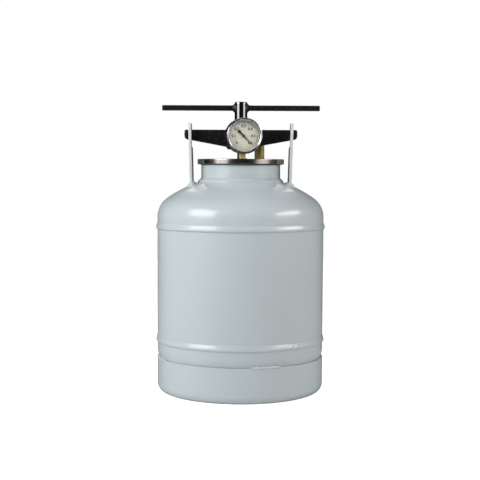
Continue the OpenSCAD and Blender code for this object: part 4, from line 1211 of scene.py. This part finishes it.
def buildScrew():
    # Spindle: turned foot, thread and turned head as one grid of rings, drilled across for the bar
    collar, neck, tip = pick(screwSet, "collarRadius", "collarNeck", "tipRadius")
    radius, headRadius, headEdge = pick(screwSet, "radius", "headRadius", "headEdge")
    fit, edge, bore = pick(screwSet, "fit", "edge", "bore")
    low, top, side = screwLow[2], screwHigh[2], radius - fit
    headFoot = yokeHigh[2] + screwSet["headUp"]
    threadFoot, threadHead = yokeLow[2], headFoot - screwSet["threadStop"]
    # Thread: r falls and rises as a cosine of (z / pitch - turn), right-handed, fading out at both ends
    rows = np.arange(threadFoot, threadHead, screwSet["threadStep"])
    turn = ringAngles(screwSet["around"])[:, None] / fullTurn
    phase = (rows[None] / screwSet["pitch"] - turn) % 1
    fade = np.clip(np.minimum(rows - threadFoot, threadHead - rows) / screwSet["threadFade"], 0, 1)
    shank = radius - screwSet["threadDeep"] * (0.5 + 0.5 * np.cos(fullTurn * phase)) * fade
    # Turned ends: collar and tip below the thread, head above it
    collarTop, seat = lidTop - screwSet["keeperDeep"], lidTop + fit
    foot = roundedLine([(0, low), (collar, low), (collar, collarTop), (neck, collarTop), (neck, seat),
                        (tip, seat), (tip, threadFoot - screwSet["tipBevel"]), (side, threadFoot - fit)],
                       edge, 5, closed=False)
    head = roundedLine([(side, threadHead + screwSet["threadGap"]), (side, headFoot), (headRadius, headFoot),
                        (headRadius, top), (0, top)], [*screwSet["headRoot"], headEdge, headEdge, 0.1], 9,
                       closed=False)
    whole = np.concatenate([screwRings(*foot.T), screwRings(shank, rows), screwRings(*head.T)], 1)
    spindle = gridSheet(whole, True, False)
    screw = makePiece("screwSpindle", [spindle], polishedSteel, "clamp_screw")
    across = np.array([[-1.0, 0, 0], [1.0, 0, 0]]) * screwSet["boreReach"] + [0, 0, barHeight]
    drill(screw, [sweepTube(across, bore, bore, screwSet["boreSides"])])


def buildBar():
    # Bar: turned along X with rounded ends
    section = rectangle(0, barRadius, barLow[0], barHigh[0])
    line = roundedLine(section, barSet["endRadii"], 8, closed=False)
    points, faces = revolve(line, barSet["around"], closed=False)
    bar = shifted((points[:, [2, 0, 1]], faces), (0, 0, barHeight))
    makePiece("tommyBar", [bar], blackPaint, "tommy_bar")


barWeldSet = {"leg": 4.2, "sink": 0.6, "lumps": ((0.06, 7, 0), (0.05, 13, 1)), "curveIn": 1.3,
              "curveOut": 1.2, "around": 96, "rows": 14}


def buildBarWelds():
    # Fillet round the bar at the head: from the head's side, at radius bar + leg, it curves in to the bar at
    # leg away; the head's round side makes its foot a saddle, and two sines make it lumpy
    leg, sink = pick(barWeldSet, "leg", "sink")
    angle = ringAngles(barWeldSet["around"])[:, None]
    t = np.linspace(0, 1, barWeldSet["rows"])[None]
    lump = 1 + (lumpy(angle, *barWeldSet["lumps"]) - 1) * np.sin(np.pi * t)
    ring = barRadius - sink + (leg * (1 - t) ** barWeldSet["curveIn"] + sink) * lump
    rootY = ring[:, :1] * np.cos(angle)
    root = np.sqrt(screwSet["headRadius"] ** 2 - rootY ** 2) - sink
    out = root + (screwSet["headRadius"] + leg - root) * t ** barWeldSet["curveOut"]
    outer = np.stack([out, ring * np.cos(angle), ring * np.sin(angle)], -1)
    core = np.full_like(ring, barRadius - sink)
    inner = np.stack([out, core * np.cos(angle), core * np.sin(angle)], -1)[:, ::-1]
    points, faces = gridSheet(np.concatenate([outer, inner], 1))
    sheets = [shifted((points * [flip, 1, 1], faces), (0, 0, barHeight)) for flip in (1, -1)]
    makePiece("barFillets", sheets, blackPaint, "bar_welds")


buildScrew()
buildBar()
buildBarWelds()
print("screw built")


# Inner pieces keep their own solids and take finishes

innerFinishes = {"upper_backing_ring": bareSteel, "lower_backing_ring": bareSteel, "jar_grid": gridSteel,
                 "bourdon_tube": stemBrass, "movement_frame": stemBrass, "pointer_pinion": stemBrass,
                 "sector_gear": stemBrass, "bourdon_link": springSteel, "poppet_seal": gasketRubber}
for node, finish in innerFinishes.items():
    for holder in frame["nodes"][node].material_slots:
        holder.material = finish
print("inner pieces finished")


# Floor, light and surroundings

white, black = (1.0, 1.0, 1.0), (0.0, 0.0, 0.0)
coolWhite, warmWhite, amberWhite = (0.98, 0.99, 1.0), (1.0, 0.99, 0.97), (1.0, 0.99, 0.96)
floorSet = {"size": 6.0, "colour": (0.90, 0.90, 0.90), "mottle": 0.985, "mottleScale": 3, "roughness": 0.8,
            "mirrored": (0.08, 0.08, 0.08), "seen": 0.9, "glow": 0.92, "tableGlow": 0.06,
            "tableReach": (0.2, 0.5)}
roomSet = {"ambient": (0.03, 0.0306, 0.0315), "mirrored": (0.010, 0.0102, 0.0107), "backdrop": white}
lampAim = np.array([0, 0, 0.3])
lampSet = {
    "softLeft": {"turn": -55, "distance": 1.9, "height": 1.24, "size": (1.35, 0.95), "power": 25.5,
                 "colour": (0.97, 0.99, 1.0)},
    "softRight": {"turn": 71, "distance": 1.9, "height": 1.10, "size": (1.4, 0.40), "power": 9.5,
                  "colour": amberWhite},
    "glintRight": {"turn": 71, "distance": 1.9, "height": 1.10, "size": (1.2, 0.34), "power": 12,
                   "colour": amberWhite, "matt": False},
    "lowLeft": {"turn": -52, "distance": 1.7, "height": 0.60, "size": (1.1, 0.7), "power": 4.2,
                "colour": warmWhite},
    "lowRight": {"turn": 60, "distance": 1.7, "height": 0.60, "size": (1.1, 0.7), "power": 3.2,
                 "colour": warmWhite},
    "frontTop": {"turn": 8, "distance": 0.62, "height": 0.78, "size": (0.5, 0.3), "power": 1.25,
                 "colour": white, "gloss": False},
    "topFill": {"turn": -50, "distance": 0.45, "height": 1.9, "size": (1.0, 1.0), "power": 5.2,
                "colour": coolWhite, "gloss": False},
    "rimLeft": {"turn": -102, "distance": 1.6, "height": 0.40, "size": (0.8, 0.8), "power": 4.9,
                "colour": coolWhite, "gloss": False},
    "rimRight": {"turn": 102, "distance": 1.6, "height": 0.40, "size": (0.8, 0.8), "power": 4.8,
                 "colour": warmWhite, "gloss": False},
    "rearFill": {"turn": 180, "distance": 2.2, "height": 2.1, "size": (1.8, 1.2), "power": 15,
                 "colour": white},
}


def addFloor():
    # Pale floor: a flat square with a faint mottle, lit from below round the part like a light table; the
    # camera sees it lifted to the backdrop's white, so that only the contact shadow shows on it, and gloss
    # mirrors it dim
    half = floorSet["size"] / 2
    corners = [(x, y, 0) for x, y in rectangle(-half, half, -half, half)]
    mesh = bpy.data.meshes.new("floor")
    mesh.from_pydata(corners, [], [(0, 1, 2, 3)])
    floor = bpy.data.objects.new("floor", mesh)
    material, tree, shader, where = startMaterial("floorPaint")
    rays = tree.nodes.new("ShaderNodeLightPath").outputs
    glossy = rays["Is Glossy Ray"]
    tones = floorSet["colour"], tuple(floorSet["mottle"] * value for value in floorSet["colour"])
    pale = addBlend(tree, addNoise(tree, where, floorSet["mottleScale"]), *tones)
    feed(tree, shader, {"Base Color": addBlend(tree, glossy, pale, floorSet["mirrored"])})
    setInputs(shader, {"Roughness": floorSet["roughness"]})
    distance = addNode(tree, "VectorMath", {}, {0: where})
    distance.operation = "LENGTH"
    lit = addRange(tree, distance.outputs["Value"], floorSet["tableGlow"], 0, *floorSet["tableReach"])
    table = addNode(tree, "Emission", {}, {"Color": addBlend(tree, glossy, white, black), "Strength": lit})
    lifted = addNode(tree, "BsdfDiffuse", {"Color": (*[floorSet["seen"]] * 3, 1)}, {})
    glow = addNode(tree, "Emission", {"Strength": floorSet["glow"]}, {})
    sums = [addNode(tree, "AddShader", {}, {0: matt.outputs[0], 1: shining.outputs[0]}).outputs[0]
            for matt, shining in ((shader, table), (lifted, glow))]
    surface = addEither(tree, rays["Is Camera Ray"], *sums)
    feed(tree, tree.nodes["Material Output"], {"Surface": surface})
    mesh.materials.append(material)
    scene.collection.objects.link(floor)


def addLamps():
    # Soft boxes round the object, at a turn from the front and each aimed at a point on the axis; the camera
    # doesn't see them, gloss False keeps one out of reflections, matt False leaves it to reflections alone
    for name, lamp in lampSet.items():
        data = bpy.data.lights.new(name, "AREA")
        data.shape = "RECTANGLE"
        data.size, data.size_y = lamp["size"]
        data.energy = lamp["power"]
        data.color = lamp["colour"]
        turn, distance = math.radians(lamp["turn"]), lamp["distance"]
        place = np.array([distance * math.sin(turn), -distance * math.cos(turn), lamp["height"]])
        box = bpy.data.objects.new(name, data)
        towards = lampAim - place
        box.location = place
        box.rotation_euler = (math.atan2(math.hypot(towards[0], towards[1]), -towards[2]), 0,
                              math.atan2(towards[1], towards[0]) - math.pi / 2)
        box.visible_camera = False
        box.visible_glossy = lamp.get("gloss", True)
        box.visible_diffuse = lamp.get("matt", True)
        scene.collection.objects.link(box)


def addSurround():
    # A dim room around a white backdrop: the camera sees white, gloss mirrors the dim room, and matt paint is
    # lit by a soft even light from all round
    world = bpy.data.worlds.new("studio")
    world.use_nodes = True
    tree = world.node_tree
    rays = tree.nodes.new("ShaderNodeLightPath").outputs
    room = tree.nodes["Background"]
    setInputs(room, {"Color": (*roomSet["ambient"], 1)})
    surface = room.outputs[0]
    for ray, colour in (("Is Glossy Ray", roomSet["mirrored"]), ("Is Camera Ray", roomSet["backdrop"])):
        other = addNode(tree, "Background", {"Color": (*colour, 1)}, {})
        surface = addEither(tree, rays[ray], surface, other.outputs[0])
    feed(tree, tree.nodes["World Output"], {"Surface": surface})
    scene.world = world


addFloor()
addLamps()
addSurround()
scene.view_settings.view_transform = "Standard"
print("studio built")
